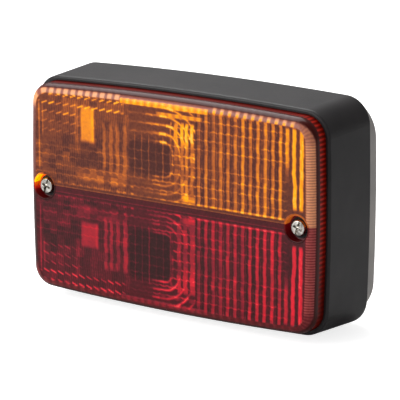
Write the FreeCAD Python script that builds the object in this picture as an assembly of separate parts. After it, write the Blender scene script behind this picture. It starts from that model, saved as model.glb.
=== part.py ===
import FreeCAD, Part
import math
import os

# Rectangular trailer rear lamp with a two-colour lens: amber turn signal above, red tail and
# stop light below. Millimetres. The lens faces -Y, +X is to the right seen from the front, +Z is
# up, and the origin is the centre of the rear mounting face. A depth is a distance forward from
# that face, so a point at depth d has y = -d.

# ---- overall sizes ----
HOUSING_WIDTH = 157.3          # across the back edge, at mid-height
HOUSING_HEIGHT = 103.1         # across the back edge, at mid-width
HOUSING_DEPTH = 30.1
HOUSING_LEAN = 1.4             # each side comes in by this much from back to front
HOUSING_RADIUS = 12.0          # corners
MOUTH_RADIUS = 10.0            # corners of the opening for the lens
SIDE_BOW = 1.8                 # rise of the long sides at their middle
END_BOW = 1.1                  # rise of the short sides at their middle
HOUSING_WALL = 2.4
CAVITY_TIGHTER = 3.0           # corners of the housing's cavity, less than the base's
RIM_WIDTH = 1.8                # rim round the lens
RIM_FILLET = 1.1
LEDGE_THICKNESS = 2.5          # ledge that carries the seal
LEDGE_REACH = 3.4              # how far it reaches in from the mouth's wall

# ---- lens ----
LENS_GAP = 0.3                 # between lens skirt and housing mouth
SKIRT_INSERT = 4.0             # part of the skirt inside the mouth
SKIRT_STAND = 5.1              # part of the skirt in front of the rim
LENS_EDGE = 4.2                # rounded border of the lens front
LENS_WALL = 2.2
LENS_FACE = 2.4
SEAL_THICKNESS = 1.0
SEAL_LIP = 0.5                 # the seal reaches past the skirt on its inner side
COLOUR_LINE = 1.2              # height of the joint between the amber and the red moulding
AMBER_RIM = 0.6                # the amber moulding laps this far down the skirt

# ---- rear base and gasket ----
GASKET_THICKNESS = 1.5
GASKET_INSET = 1.0
BASE_THICKNESS = 6.5
BASE_INSET_X = 0.85            # step between housing and base, at the short sides
BASE_INSET_Z = 2.0             # the same at the long sides
BASE_RADIUS = 17.0
BASE_WALL = 2.5
BASE_FLOOR = 2.5
SPIGOT_HEIGHT = 3.0            # rim of the base that plugs into the housing
SPIGOT_WALL = 1.8
SPIGOT_GAP = 0.2
ROUND_GAP = 0.05               # radial clearance of screws and rivets in their holes

# ---- lens screws, M4 ----
SCREW_X = 66.5
THREAD_RADIUS = 2.0
SCREW_LENGTH = 14.0
HEAD_RADIUS = 3.5
HEAD_HEIGHT = 2.4
HEAD_RECESS = 1.0              # head below the lens front
RECESS_WIDTH = 0.9             # arms of the cross recess
RECESS_DEPTH = 1.4
WASHER_RADIUS = 4.6
WASHER_THICKNESS = 0.8
POCKET_RADIUS = 5.5
POCKET_WALL = 1.3
POCKET_FLOOR = 2.2
POCKET_HOLE_GAP = 0.3
POCKET_WEB = 5.0               # half-height of the web that joins a pocket to the lens wall
PILLAR_RADIUS = 5.0
PILLAR_GAP = 0.2
WEB_WIDTH = 4.0
INSERT_RADIUS = 2.9
INSERT_LENGTH = 8.5

# ---- base screws, self-tapping ----
CORNER_IN_X = 10.2             # centre of a corner screw from the housing's back edge
CORNER_IN_Z = 10.4
CORNER_PILLAR_RADIUS = 4.2
BASE_SCREW_RADIUS = 1.5
BASE_SCREW_LENGTH = 14.0
BASE_HEAD_RADIUS = 2.9
BASE_HEAD_HEIGHT = 2.0
COUNTERBORE_DEPTH = 2.6

# ---- mounting studs, M6 ----
STUD_SPACING = 76.0
STUD_RADIUS = 3.0
STUD_NECK_RADIUS = 3.5         # shoulder inside the base
STUD_REACH = 20.0              # beyond the mounting face
STUD_HEAD_FLATS = 10.0
STUD_HEAD_HEIGHT = 4.0
STUD_HOLE_GAP = 0.2
STUD_CHAMFER = 0.7
RIB_THICKNESS = 1.2

# ---- cable grommet ----
GROMMET_X = 18.0
GROMMET_Z = 18.0
CABLE_RADIUS = 3.5
GROMMET_RADIUS = 6.0
GROMMET_FLANGE = 8.0
FLANGE_THICKNESS = 1.2
GROMMET_GASKET_GAP = 0.6

# ---- reflector tray ----
TRAY_DEPTH = 10.0              # depth of its back
TRAY_SHEET = 1.2
TRAY_FRONT = 32.0
TRAY_IN_BACK = 10.5            # tray's side from the housing's back edge, at its back
TRAY_IN_FRONT = 7.2            # the same at its front
TRAY_RADIUS = 9.0
TRAY_CLEARANCE = 0.6           # round pillars and posts
TRAY_SCREW_X = 42.0
TRAY_SCREW_Z = 35.5
TRAY_SCREW_RADIUS = 1.5
TRAY_SCREW_LENGTH = 7.0
TRAY_HEAD_RADIUS = 2.8
TRAY_HEAD_HEIGHT = 1.7
POST_RADIUS = 3.5
DIVIDER_SHEET = 1.5
DIVIDER_END_GAP = 1.5
DIVIDER_LENS_GAP = 0.6

# ---- bulbs, 21 W with a 15 mm bayonet cap, lying along +X ----
AXIS_Z = 23.5                  # upper bulb above, lower bulb below the middle
AXIS_DEPTH = 25.0
BULB_BASE_X = -55.5            # rear face of the cap
CAP_RADIUS = 7.5
CAP_LENGTH = 18.5
CAP_WALL = 0.5
CAP_FLOOR = 1.5
SOLDER_HEIGHT = 1.5
SOLDER_RADIUS_SINGLE = 2.2
SOLDER_RADIUS_PAIR = 1.6
CONTACT_PAIR_OFFSET = 3.2      # two contacts, each this far from the axis
LUG_RADIUS = 1.0
LUG_FROM_BASE = 6.5            # bayonet pins from the cap's rear face
LUG_STAGGER = 3.0              # one pin of the two-filament bulb stands further forward
LUG_HEIGHT = 1.3
GLASS_RADIUS = 12.5
GLASS_FROM_BASE = 32.5         # centre of the glass ball
GLASS_WALL = 0.8
NECK_GAP = 0.15                # between neck and cap
NECK_IN_CAP = 6.0
STEM_DISC = 2.0
STEM_CONE = 5.0
STEM_TIP_RADIUS = 3.8
STEM_GAP = 0.05
WIRE_RADIUS = 0.35
WIRE_OFFSET = 3.0
FILAMENT_RADIUS = 0.7
FILAMENT_SPACING = 5.0

# ---- bulb sockets ----
PUSH = 1.8                     # travel of the sprung contact
TWIST = 22.0                   # degrees
SLEEVE_GAP = 0.3
SLEEVE_WALL = 0.8
SLEEVE_MOUTH_FROM_LUG = 6.0
LUG_GAP = 0.3
SLOT_STEPS = 6
BRACKET_SHEET = 1.0
BRACKET_HALF_WIDTH = 10.0
BRACKET_ABOVE_AXIS = 9.5
BRACKET_FLANGE = 12.0
PLUNGER_GAP = 0.4
PLUNGER_DISC = 2.0
PLUNGER_REST = 0.4             # plunger disc in front of the bracket plate's rear face
PIN_RADIUS = 0.9
PIN_HEAD_RADIUS = 1.8
PIN_HEAD_HEIGHT = 0.6
PIN_TAIL = 2.1                 # beyond the contact strip
PIN_HOLE_GAP = 0.3
CUP_WALL = 1.0
CUP_DEPTH = 6.0
CUP_FLOOR = 1.5
SPRING_RADIUS = 4.9
SPRING_WIRE = 0.45
SPRING_TURNS = 3
RIVET_OFFSET_Z = 6.0
RIVET_RADIUS = 1.5
RIVET_HEAD_RADIUS = 2.6
RIVET_HEAD_HEIGHT = 0.7

# ---- terminals and strips ----
TERMINAL_PITCH = 12.0
TERMINAL_COUNT = 4
TERMINAL_HEIGHT = 4.0
TERMINAL_BLOCK_HALF = 8.0
CLAMP_LENGTH = 8.6
CLAMP_WIDTH = 6.6
CLAMP_HEIGHT = 3.0
CLAMP_POCKET_GAP = 0.2
CLAMP_WIRE_RADIUS = 1.0
TERMINAL_SCREW_RADIUS = 1.2
TERMINAL_SCREW_LENGTH = 2.6
TERMINAL_HEAD_RADIUS = 2.3
TERMINAL_HEAD_HEIGHT = 0.9
STRIP_SHEET = 0.5
STRIP_WIDTH = 4.0
PAIR_STRIP_WIDTH = 3.0
STRIP_ABOVE_AXIS = 2.5
EARTH_BEND_GAP = 3.0           # bend of the earth strip from the terminal block's end

# ---- depths, worked out from the sizes above ----
HOUSING_BACK = GASKET_THICKNESS + BASE_THICKNESS
HOUSING_FRONT = HOUSING_BACK + HOUSING_DEPTH
SKIRT_REAR = HOUSING_FRONT - SKIRT_INSERT
MOUTH_FLOOR = SKIRT_REAR - SEAL_THICKNESS
LEDGE_REAR = MOUTH_FLOOR - LEDGE_THICKNESS
SKIRT_FRONT = HOUSING_FRONT + SKIRT_STAND
LENS_FRONT = SKIRT_FRONT + LENS_EDGE
LENS_INNER = LENS_FRONT - LENS_FACE
FLOOR = GASKET_THICKNESS + BASE_FLOOR
HEAD_FRONT = LENS_FRONT - HEAD_RECESS
HEAD_REAR = HEAD_FRONT - HEAD_HEIGHT
POCKET_FLOOR_FRONT = HEAD_REAR - WASHER_THICKNESS
POCKET_FLOOR_REAR = POCKET_FLOOR_FRONT - POCKET_FLOOR
PILLAR_TOP = POCKET_FLOOR_REAR - PILLAR_GAP
TRAY_FLOOR = TRAY_DEPTH + TRAY_SHEET
TERMINAL_TOP = FLOOR + TERMINAL_HEIGHT

# ---- plan sizes, worked out from the sizes above ----
MOUTH_WIDTH = HOUSING_WIDTH - 2 * (HOUSING_LEAN + RIM_WIDTH)
MOUTH_HEIGHT = HOUSING_HEIGHT - 2 * (HOUSING_LEAN + RIM_WIDTH)
LENS_WIDTH = MOUTH_WIDTH - 2 * LENS_GAP
LENS_HEIGHT = MOUTH_HEIGHT - 2 * LENS_GAP
LENS_RADIUS = MOUTH_RADIUS - LENS_GAP
CAVITY_RADIUS = BASE_RADIUS - CAVITY_TIGHTER
CORNER_X = HOUSING_WIDTH / 2 - CORNER_IN_X
CORNER_Z = HOUSING_HEIGHT / 2 - CORNER_IN_Z
LUG_X = BULB_BASE_X + LUG_FROM_BASE
SLEEVE_RADIUS = CAP_RADIUS + SLEEVE_GAP
SOLDER_X = BULB_BASE_X - SOLDER_HEIGHT
PLUNGER_X = SOLDER_X - PIN_HEAD_HEIGHT
BRACKET_X = PLUNGER_X - PLUNGER_DISC - PLUNGER_REST
CUP_X = BRACKET_X - CUP_DEPTH
STRIP_X = CUP_X - CUP_FLOOR
NECK_RADIUS = CAP_RADIUS - CAP_WALL - NECK_GAP
CAP_FRONT_X = BULB_BASE_X + CAP_LENGTH
GLASS_X = BULB_BASE_X + GLASS_FROM_BASE
STEM_X = CAP_FRONT_X - NECK_IN_CAP
FLANGE_X = BRACKET_X + BRACKET_SHEET + BRACKET_FLANGE / 2
TERMINAL_X = [(i - (TERMINAL_COUNT - 1) / 2) * TERMINAL_PITCH for i in range(TERMINAL_COUNT)]
EARTH_X, TURN_X, TAIL_X, STOP_X = TERMINAL_X

SIDES = {"left": -1, "right": 1}
HALVES = {"upper": 1, "lower": -1}


# ---- shape helpers ----
def at(x, depth, z):
    """A point given by its depth."""
    return FreeCAD.Vector(x, -depth, z)


def block(x0, x1, z0, z1, d0, d1):
    """A box between two depths."""
    return Part.makeBox(x1 - x0, d1 - d0, z1 - z0, at(x0, d1, z0))


def rod(x, z, radius, d0, d1):
    """A cylinder along the depth."""
    return Part.makeCylinder(radius, d1 - d0, at(x, d0, z), FreeCAD.Vector(0, -1, 0))


def bar(x0, x1, z, radius, depth=AXIS_DEPTH):
    """A cylinder along X."""
    return Part.makeCylinder(radius, x1 - x0, at(x0, depth, z), FreeCAD.Vector(1, 0, 0))


def fuse(shapes):
    """One solid from several that touch."""
    first = shapes[0]
    if len(shapes) > 1:
        first = first.fuse(shapes[1:])
    return first.removeSplitter()


def outline(width, height, radius, depth):
    """A rectangle with bowed sides and rounded corners, as a closed wire at a depth."""
    x = width / 2 - END_BOW
    z = height / 2 - SIDE_BOW
    corners = [at(-x, depth, -z), at(x, depth, -z), at(x, depth, z), at(-x, depth, z)]
    middles = [
        at(0, depth, -height / 2),
        at(width / 2, depth, 0),
        at(0, depth, height / 2),
        at(-width / 2, depth, 0),
    ]
    edges = [
        Part.Arc(corners[i], middles[i], corners[(i + 1) % 4]).toShape() for i in range(4)
    ]
    prism = Part.Face(Part.Wire(edges)).extrude(FreeCAD.Vector(0, -1, 0))
    uprights = [e for e in prism.Edges if e.BoundBox.YLength > 0.5 and e.BoundBox.XLength < 0.1]
    prism = prism.makeFillet(radius, uprights)
    ends = [f for f in prism.Faces if abs(f.CenterOfMass.y + depth) < 1e-6]
    return ends[0].OuterWire


def slab(width, height, radius, d0, d1):
    """The outline carried straight from one depth to another."""
    return Part.Face(outline(width, height, radius, d0)).extrude(at(0, d1 - d0, 0))


def tapered(width0, height0, width1, height1, radius, d0, d1):
    """The outline carried from one size to another."""
    wires = [outline(width0, height0, radius, d0), outline(width1, height1, radius, d1)]
    return Part.makeLoft(wires, True, True)


def ring(width, height, radius, wall, d0, d1):
    """A frame of even wall that follows the outline."""
    outer = slab(width, height, radius, d0, d1)
    return outer.cut(slab(width - 2 * wall, height - 2 * wall, radius - wall, d0 - 1, d1 + 1))


def lean_at(depth):
    """How far a housing side has come in at a depth."""
    return HOUSING_LEAN * (depth - HOUSING_BACK) / HOUSING_DEPTH


def housing_slab(inset, radius, d0, d1):
    """The housing's outline, set in and leaning with its sides, between two depths."""
    in0 = 2 * (inset + lean_at(d0))
    in1 = 2 * (inset + lean_at(d1))
    return tapered(
        HOUSING_WIDTH - in0, HOUSING_HEIGHT - in0,
        HOUSING_WIDTH - in1, HOUSING_HEIGHT - in1,
        radius, d0, d1,
    )


def edges_at(shape, depth):
    """The edges of a shape that lie in the plane of one depth."""
    return [
        e for e in shape.Edges
        if abs(e.BoundBox.YMin + depth) < 1e-4 and abs(e.BoundBox.YMax + depth) < 1e-4
    ]


def corner_points():
    """Centres of the four base screws."""
    return [(sx * CORNER_X, sz * CORNER_Z) for sx in (-1, 1) for sz in (-1, 1)]


def tray_points():
    """Centres of the four tray screws."""
    return [(sx * TRAY_SCREW_X, sz * TRAY_SCREW_Z) for sx in (-1, 1) for sz in (-1, 1)]


def stud_points():
    """Centres of the two mounting studs, both at mid-height."""
    return [-STUD_SPACING / 2, STUD_SPACING / 2]


def pan_head(x, z, radius, height, seat, forward):
    """A screw head with a softened rim, standing on a seat; forward is +1 or -1."""
    low, high = sorted((seat, seat + forward * height))
    head = rod(x, z, radius, low, high)
    top = seat + forward * height
    return head.makeFillet(height * 0.45, edges_at(head, top))


def cross_recess(x, z, reach, width, top, depth):
    """A cross-shaped recess cut down from a head's top."""
    arms = block(x - reach, x + reach, z - width / 2, z + width / 2, top - depth, top + 1)
    return arms.fuse(
        block(x - width / 2, x + width / 2, z - reach, z + reach, top - depth, top + 1)
    )


# ---- housing, base and what closes them ----
def housing():
    """Outer shell: open at the back for the base and at the front for the lens."""
    shell = housing_slab(0, HOUSING_RADIUS, HOUSING_BACK, HOUSING_FRONT)
    shell = shell.makeFillet(RIM_FILLET, edges_at(shell, HOUSING_FRONT))
    outside = shell.copy()
    shell = shell.cut(housing_slab(HOUSING_WALL, CAVITY_RADIUS, HOUSING_BACK, LEDGE_REAR))
    shell = shell.cut(
        slab(MOUTH_WIDTH, MOUTH_HEIGHT, MOUTH_RADIUS, MOUTH_FLOOR, HOUSING_FRONT + 1)
    )
    shell = shell.cut(
        slab(
            MOUTH_WIDTH - 2 * LEDGE_REACH, MOUTH_HEIGHT - 2 * LEDGE_REACH,
            MOUTH_RADIUS - LEDGE_REACH, LEDGE_REAR - 1, MOUTH_FLOOR + 1,
        )
    )
    spigot_front = HOUSING_BACK + SPIGOT_HEIGHT + SPIGOT_GAP
    for x, z in corner_points():
        pillar = rod(x, z, CORNER_PILLAR_RADIUS, HOUSING_BACK, LEDGE_REAR + 1).common(outside)
        shell = shell.fuse(pillar)
    for side in SIDES.values():
        pillar = rod(side * SCREW_X, 0, PILLAR_RADIUS, spigot_front, PILLAR_TOP)
        ends = sorted((side * SCREW_X, side * (HOUSING_WIDTH / 2 - HOUSING_WALL / 2)))
        web = block(ends[0], ends[1], -WEB_WIDTH / 2, WEB_WIDTH / 2, spigot_front, MOUTH_FLOOR)
        shell = shell.fuse([pillar, web.common(outside)])
    for x, z in corner_points():
        reach = base_screw_seat() + BASE_SCREW_LENGTH + 1
        shell = shell.cut(rod(x, z, BASE_SCREW_RADIUS + ROUND_GAP, HOUSING_BACK - 1, reach))
    for side in SIDES.values():
        bore_end = HEAD_REAR - SCREW_LENGTH - 1
        x = side * SCREW_X
        shell = shell.cut(rod(x, 0, THREAD_RADIUS + ROUND_GAP, bore_end, PILLAR_TOP + 1))
        insert_rear = PILLAR_TOP - INSERT_LENGTH
        shell = shell.cut(rod(x, 0, INSERT_RADIUS + ROUND_GAP, insert_rear, PILLAR_TOP + 1))
    return shell.removeSplitter()


def base_screw_seat():
    """Depth of the shoulder under the base screws' heads."""
    return GASKET_THICKNESS + COUNTERBORE_DEPTH


def rear_base():
    """Stepped base that closes the housing's back and carries everything inside."""
    width = HOUSING_WIDTH - 2 * BASE_INSET_X
    height = HOUSING_HEIGHT - 2 * BASE_INSET_Z
    base = slab(width, height, BASE_RADIUS, GASKET_THICKNESS, HOUSING_BACK)
    base = base.cut(
        slab(
            width - 2 * BASE_WALL, height - 2 * BASE_WALL, BASE_RADIUS - BASE_WALL,
            FLOOR, HOUSING_BACK + 1,
        )
    )
    inset = HOUSING_WALL + SPIGOT_GAP + lean_at(HOUSING_BACK + SPIGOT_HEIGHT)
    spigot = ring(
        HOUSING_WIDTH - 2 * inset, HOUSING_HEIGHT - 2 * inset, CAVITY_RADIUS - SPIGOT_GAP,
        SPIGOT_WALL, FLOOR, HOUSING_BACK + SPIGOT_HEIGHT,
    )
    for x, z in corner_points():
        clear = CORNER_PILLAR_RADIUS + SPIGOT_GAP
        spigot = spigot.cut(rod(x, z, clear, HOUSING_BACK, HOUSING_FRONT))
    base = base.fuse(spigot)
    for x, z in corner_points():
        post = rod(x, z, CORNER_PILLAR_RADIUS, GASKET_THICKNESS, HOUSING_BACK)
        base = base.fuse(post)
    for x, z in tray_points():
        base = base.fuse(rod(x, z, POST_RADIUS, FLOOR, TRAY_DEPTH))
    rib = STUD_HEAD_FLATS / 2 + STUD_HOLE_GAP
    for x in stud_points():
        for side in (-1, 1):
            z0, z1 = sorted((side * rib, side * (rib + RIB_THICKNESS)))
            base = base.fuse(block(x - rib, x + rib, z0, z1, FLOOR, FLOOR + STUD_HEAD_HEIGHT / 2))
    for x, z in corner_points():
        base = base.cut(rod(x, z, BASE_SCREW_RADIUS + ROUND_GAP, 0, HOUSING_BACK + 1))
        base = base.cut(rod(x, z, BASE_HEAD_RADIUS + SPIGOT_GAP, 0, base_screw_seat()))
    for x, z in tray_points():
        pilot_end = TRAY_FLOOR - TRAY_SCREW_LENGTH - 0.5
        base = base.cut(rod(x, z, TRAY_SCREW_RADIUS + ROUND_GAP, pilot_end, TRAY_DEPTH + 1))
    for x in stud_points():
        base = base.cut(rod(x, 0, STUD_NECK_RADIUS + STUD_HOLE_GAP, 0, FLOOR + 1))
    base = base.cut(rod(GROMMET_X, GROMMET_Z, GROMMET_RADIUS + ROUND_GAP, 0, FLOOR + 1))
    return base.removeSplitter()


def mounting_gasket():
    """Flat rubber gasket between the base and the vehicle."""
    width = HOUSING_WIDTH - 2 * (BASE_INSET_X + GASKET_INSET)
    height = HOUSING_HEIGHT - 2 * (BASE_INSET_Z + GASKET_INSET)
    sheet = slab(width, height, BASE_RADIUS - GASKET_INSET, 0, GASKET_THICKNESS)
    for x in stud_points():
        sheet = sheet.cut(rod(x, 0, STUD_NECK_RADIUS + STUD_HOLE_GAP, -1, GASKET_THICKNESS + 1))
    hole = GROMMET_FLANGE + GROMMET_GASKET_GAP
    return sheet.cut(rod(GROMMET_X, GROMMET_Z, hole, -1, GASKET_THICKNESS + 1))


def mounting_studs():
    """Two bolts with their heads inside the base."""
    bolts = []
    for x in stud_points():
        corner = STUD_HEAD_FLATS / math.sqrt(3)
        points = [
            at(
                x + corner * math.cos(math.radians(60 * i)), FLOOR,
                corner * math.sin(math.radians(60 * i)),
            )
            for i in range(7)
        ]
        head = Part.Face(Part.makePolygon(points)).extrude(at(0, STUD_HEAD_HEIGHT, 0))
        shank = rod(x, 0, STUD_RADIUS, -STUD_REACH, 0)
        shank = shank.makeChamfer(STUD_CHAMFER, edges_at(shank, -STUD_REACH))
        neck = rod(x, 0, STUD_NECK_RADIUS, 0, FLOOR + 1)
        bolts.append(fuse([head, shank, neck]))
    return Part.makeCompound(bolts)


def base_screws():
    """Four self-tapping screws that hold the base in the housing."""
    screws = []
    for x, z in corner_points():
        seat = base_screw_seat()
        head = pan_head(x, z, BASE_HEAD_RADIUS, BASE_HEAD_HEIGHT, seat, -1)
        shank = rod(x, z, BASE_SCREW_RADIUS, seat, seat + BASE_SCREW_LENGTH)
        screws.append(fuse([head, shank]))
    return Part.makeCompound(screws)


def cable_grommet():
    """Rubber grommet held in the base's floor by a flange on each side."""
    x, z = GROMMET_X, GROMMET_Z
    outer = GASKET_THICKNESS - FLANGE_THICKNESS
    body = fuse([
        rod(x, z, GROMMET_FLANGE, outer, GASKET_THICKNESS),
        rod(x, z, GROMMET_RADIUS, GASKET_THICKNESS, FLOOR),
        rod(x, z, GROMMET_FLANGE, FLOOR, FLOOR + FLANGE_THICKNESS),
    ])
    return body.cut(rod(x, z, CABLE_RADIUS, 0, FLOOR + 2 * FLANGE_THICKNESS))


def lens_seal():
    """Foam seal on the ledge, under the lens skirt."""
    return ring(
        LENS_WIDTH, LENS_HEIGHT, LENS_RADIUS, LENS_WALL + SEAL_LIP, MOUTH_FLOOR, SKIRT_REAR
    )


def screw_inserts():
    """Brass nuts moulded into the two lens pillars."""
    inserts = []
    for side in SIDES.values():
        x = side * SCREW_X
        body = rod(x, 0, INSERT_RADIUS, PILLAR_TOP - INSERT_LENGTH, PILLAR_TOP)
        inserts.append(body.cut(rod(x, 0, THREAD_RADIUS + ROUND_GAP, 0, LENS_FRONT)))
    return Part.makeCompound(inserts)


# ---- lens ----
def lens_body():
    """The whole lens before it is parted into its two colours."""
    shell = slab(LENS_WIDTH, LENS_HEIGHT, LENS_RADIUS, SKIRT_REAR, LENS_FRONT)
    shell = shell.makeFillet(LENS_EDGE, edges_at(shell, LENS_FRONT))
    hollow = slab(
        LENS_WIDTH - 2 * LENS_WALL, LENS_HEIGHT - 2 * LENS_WALL, LENS_RADIUS - LENS_WALL,
        SKIRT_REAR - 1, LENS_INNER,
    )
    hollow = hollow.makeFillet(LENS_EDGE - LENS_WALL, edges_at(hollow, LENS_INNER))
    outside = shell.copy()
    shell = shell.cut(hollow)
    for side in SIDES.values():
        x = side * SCREW_X
        cup = rod(x, 0, POCKET_RADIUS + POCKET_WALL, POCKET_FLOOR_REAR, LENS_FRONT)
        x0, x1 = sorted((x, side * (LENS_WIDTH - LENS_WALL) / 2))
        web = block(x0, x1, -POCKET_WEB, POCKET_WEB, POCKET_FLOOR_REAR, LENS_FRONT)
        shell = shell.fuse(cup.fuse(web).common(outside))
    for side in SIDES.values():
        x = side * SCREW_X
        shell = shell.cut(rod(x, 0, POCKET_RADIUS, POCKET_FLOOR_FRONT, LENS_FRONT + 1))
        shell = shell.cut(rod(x, 0, THREAD_RADIUS + POCKET_HOLE_GAP, 0, LENS_FRONT))
    return shell


def amber_space():
    """The space that the amber moulding takes in the lens: upper front."""
    half = HOUSING_WIDTH
    return block(-half, half, COLOUR_LINE, half, SKIRT_FRONT - AMBER_RIM, LENS_FRONT + 1)


def lens_amber():
    """Upper window and its rounded border."""
    return lens_body().common(amber_space())


def lens_red():
    """Lower window, the skirt all round and the screw pockets."""
    return lens_body().cut(amber_space())


def lens_screw(side):
    """Pan-head lens screw with a cross recess."""
    x = side * SCREW_X
    head = pan_head(x, 0, HEAD_RADIUS, HEAD_HEIGHT, HEAD_REAR, 1)
    shank = rod(x, 0, THREAD_RADIUS, HEAD_REAR - SCREW_LENGTH, HEAD_REAR)
    shank = shank.makeChamfer(THREAD_RADIUS * 0.4, edges_at(shank, HEAD_REAR - SCREW_LENGTH))
    screw = fuse([head, shank])
    return screw.cut(
        cross_recess(x, 0, HEAD_RADIUS * 0.62, RECESS_WIDTH, HEAD_FRONT, RECESS_DEPTH)
    )


def screw_washer(side):
    """Sealing washer under the screw's head."""
    x = side * SCREW_X
    disc = rod(x, 0, WASHER_RADIUS, POCKET_FLOOR_FRONT, HEAD_REAR)
    return disc.cut(rod(x, 0, THREAD_RADIUS + ROUND_GAP, 0, LENS_FRONT))


# ---- reflector ----
def tray_sides(inset, d0, d1):
    """The tray's flared outline between two depths, set in by a wall."""
    slope = (TRAY_IN_BACK - TRAY_IN_FRONT) / (TRAY_FRONT - TRAY_DEPTH)
    in0 = 2 * (TRAY_IN_BACK - slope * (d0 - TRAY_DEPTH) + inset)
    in1 = 2 * (TRAY_IN_BACK - slope * (d1 - TRAY_DEPTH) + inset)
    return tapered(
        HOUSING_WIDTH - in0, HOUSING_HEIGHT - in0,
        HOUSING_WIDTH - in1, HOUSING_HEIGHT - in1,
        TRAY_RADIUS, d0, d1,
    )


def strip_window(z, width):
    """Opening in the tray's left wall for a contact strip and the contact's tail."""
    half = width / 2 + TRAY_CLEARANCE
    wall_x = -HOUSING_WIDTH / 2
    return block(
        wall_x, STRIP_X + TRAY_CLEARANCE, z - half, z + half,
        TRAY_DEPTH - 1, AXIS_DEPTH + STRIP_ABOVE_AXIS + TRAY_CLEARANCE,
    )


def reflector_tray():
    """Silvered tray with flared walls, cut clear of the pillars."""
    tray = tray_sides(0, TRAY_DEPTH, TRAY_FRONT)
    tray = tray.cut(tray_sides(TRAY_SHEET, TRAY_FLOOR, TRAY_FRONT))
    for side in SIDES.values():
        x = side * SCREW_X
        tray = tray.cut(rod(x, 0, PILLAR_RADIUS + TRAY_CLEARANCE, 0, LENS_FRONT))
        x0, x1 = sorted((x, side * HOUSING_WIDTH / 2))
        half = WEB_WIDTH / 2 + TRAY_CLEARANCE
        tray = tray.cut(block(x0, x1, -half, half, 0, LENS_FRONT))
    for x, z in corner_points():
        tray = tray.cut(rod(x, z, CORNER_PILLAR_RADIUS + TRAY_CLEARANCE, 0, LENS_FRONT))
    for x, z in tray_points():
        tray = tray.cut(rod(x, z, TRAY_SCREW_RADIUS + ROUND_GAP, 0, TRAY_FLOOR + 1))
    for half, turn in HALVES.items():
        for z in strip_rows(half):
            tray = tray.cut(strip_window(z, strip_width(half)))
        cup_room = SLEEVE_RADIUS + CUP_WALL + TRAY_CLEARANCE
        tray = tray.cut(bar(STRIP_X - TRAY_CLEARANCE, BRACKET_X, turn * AXIS_Z, cup_room))
        for dz in (-RIVET_OFFSET_Z, RIVET_OFFSET_Z):
            z = turn * AXIS_Z + dz
            tray = tray.cut(rod(FLANGE_X, z, RIVET_RADIUS + ROUND_GAP, 0, TRAY_FLOOR + 1))
    return tray.removeSplitter()


def chamber_divider():
    """Upright sheet that keeps the two lights apart."""
    end = SCREW_X - max(PILLAR_RADIUS, POCKET_RADIUS + POCKET_WALL) - DIVIDER_END_GAP
    half = DIVIDER_SHEET / 2
    return block(-end, end, -half, half, TRAY_FLOOR, LENS_INNER - DIVIDER_LENS_GAP)


def tray_screws():
    """Four screws that hold the tray on the base's posts."""
    screws = []
    for x, z in tray_points():
        head = pan_head(x, z, TRAY_HEAD_RADIUS, TRAY_HEAD_HEIGHT, TRAY_FLOOR, 1)
        shank = rod(x, z, TRAY_SCREW_RADIUS, TRAY_FLOOR - TRAY_SCREW_LENGTH, TRAY_FLOOR)
        top = TRAY_FLOOR + TRAY_HEAD_HEIGHT
        recess = cross_recess(x, z, TRAY_HEAD_RADIUS * 0.6, RECESS_WIDTH, top, TRAY_HEAD_HEIGHT / 2)
        screws.append(fuse([head, shank]).cut(recess))
    return Part.makeCompound(screws)


# ---- bulbs and their sockets ----
def contact_rows(half):
    """Heights of a bulb's contacts: one in the upper bulb, two in the lower."""
    z = HALVES[half] * AXIS_Z
    if half == "upper":
        return [z]
    return [z + CONTACT_PAIR_OFFSET, z - CONTACT_PAIR_OFFSET]


def strip_rows(half):
    """Heights of the contact strips, one per contact."""
    return contact_rows(half)


def strip_width(half):
    """Width of a contact strip."""
    return STRIP_WIDTH if half == "upper" else PAIR_STRIP_WIDTH


def lug_places(half):
    """Each bayonet pin's direction and its place along X."""
    stagger = 0 if half == "upper" else LUG_STAGGER
    return [(1, LUG_X), (-1, LUG_X + stagger)]


def radial_rod(z, x, way, angle, radius, inner, outer):
    """A short cylinder that stands out from the bulb's axis, turned about X."""
    turned = math.radians(angle)
    out = FreeCAD.Vector(0, -way * math.sin(turned), way * math.cos(turned))
    start = at(x, AXIS_DEPTH, z) + out * inner
    return Part.makeCylinder(radius, outer - inner, start, out)


def bulb_cap(half):
    """Brass bayonet cap with its two side pins."""
    z = HALVES[half] * AXIS_Z
    cap = bar(BULB_BASE_X, CAP_FRONT_X, z, CAP_RADIUS)
    cap = cap.cut(bar(BULB_BASE_X + CAP_FLOOR, CAP_FRONT_X + 1, z, CAP_RADIUS - CAP_WALL))
    for way, x in lug_places(half):
        inner = CAP_RADIUS - CAP_WALL
        lug = radial_rod(z, x, way, 0, LUG_RADIUS, inner, CAP_RADIUS + LUG_HEIGHT)
        cap = cap.fuse(lug.cut(bar(BULB_BASE_X, CAP_FRONT_X, z, inner)))
    return cap.removeSplitter()


def bulb_contacts(half):
    """Solder contacts on the cap's rear face."""
    radius = SOLDER_RADIUS_SINGLE if half == "upper" else SOLDER_RADIUS_PAIR
    drops = []
    for z in contact_rows(half):
        drop = bar(SOLDER_X, BULB_BASE_X, z, radius)
        rim = [e for e in drop.Edges if abs(e.BoundBox.XMax - SOLDER_X) < 1e-4]
        drops.append(drop.makeFillet(SOLDER_HEIGHT * 0.5, rim))
    return Part.makeCompound(drops)


def bulb_glass(half):
    """Clear glass envelope, open at the neck where the stem closes it."""
    z = HALVES[half] * AXIS_Z
    centre = at(GLASS_X, AXIS_DEPTH, z)
    outer = Part.makeSphere(GLASS_RADIUS, centre).fuse(bar(STEM_X, GLASS_X, z, NECK_RADIUS))
    inner = Part.makeSphere(GLASS_RADIUS - GLASS_WALL, centre)
    inner = inner.fuse(bar(STEM_X - 1, GLASS_X, z, NECK_RADIUS - GLASS_WALL))
    return outer.cut(inner).removeSplitter()


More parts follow.
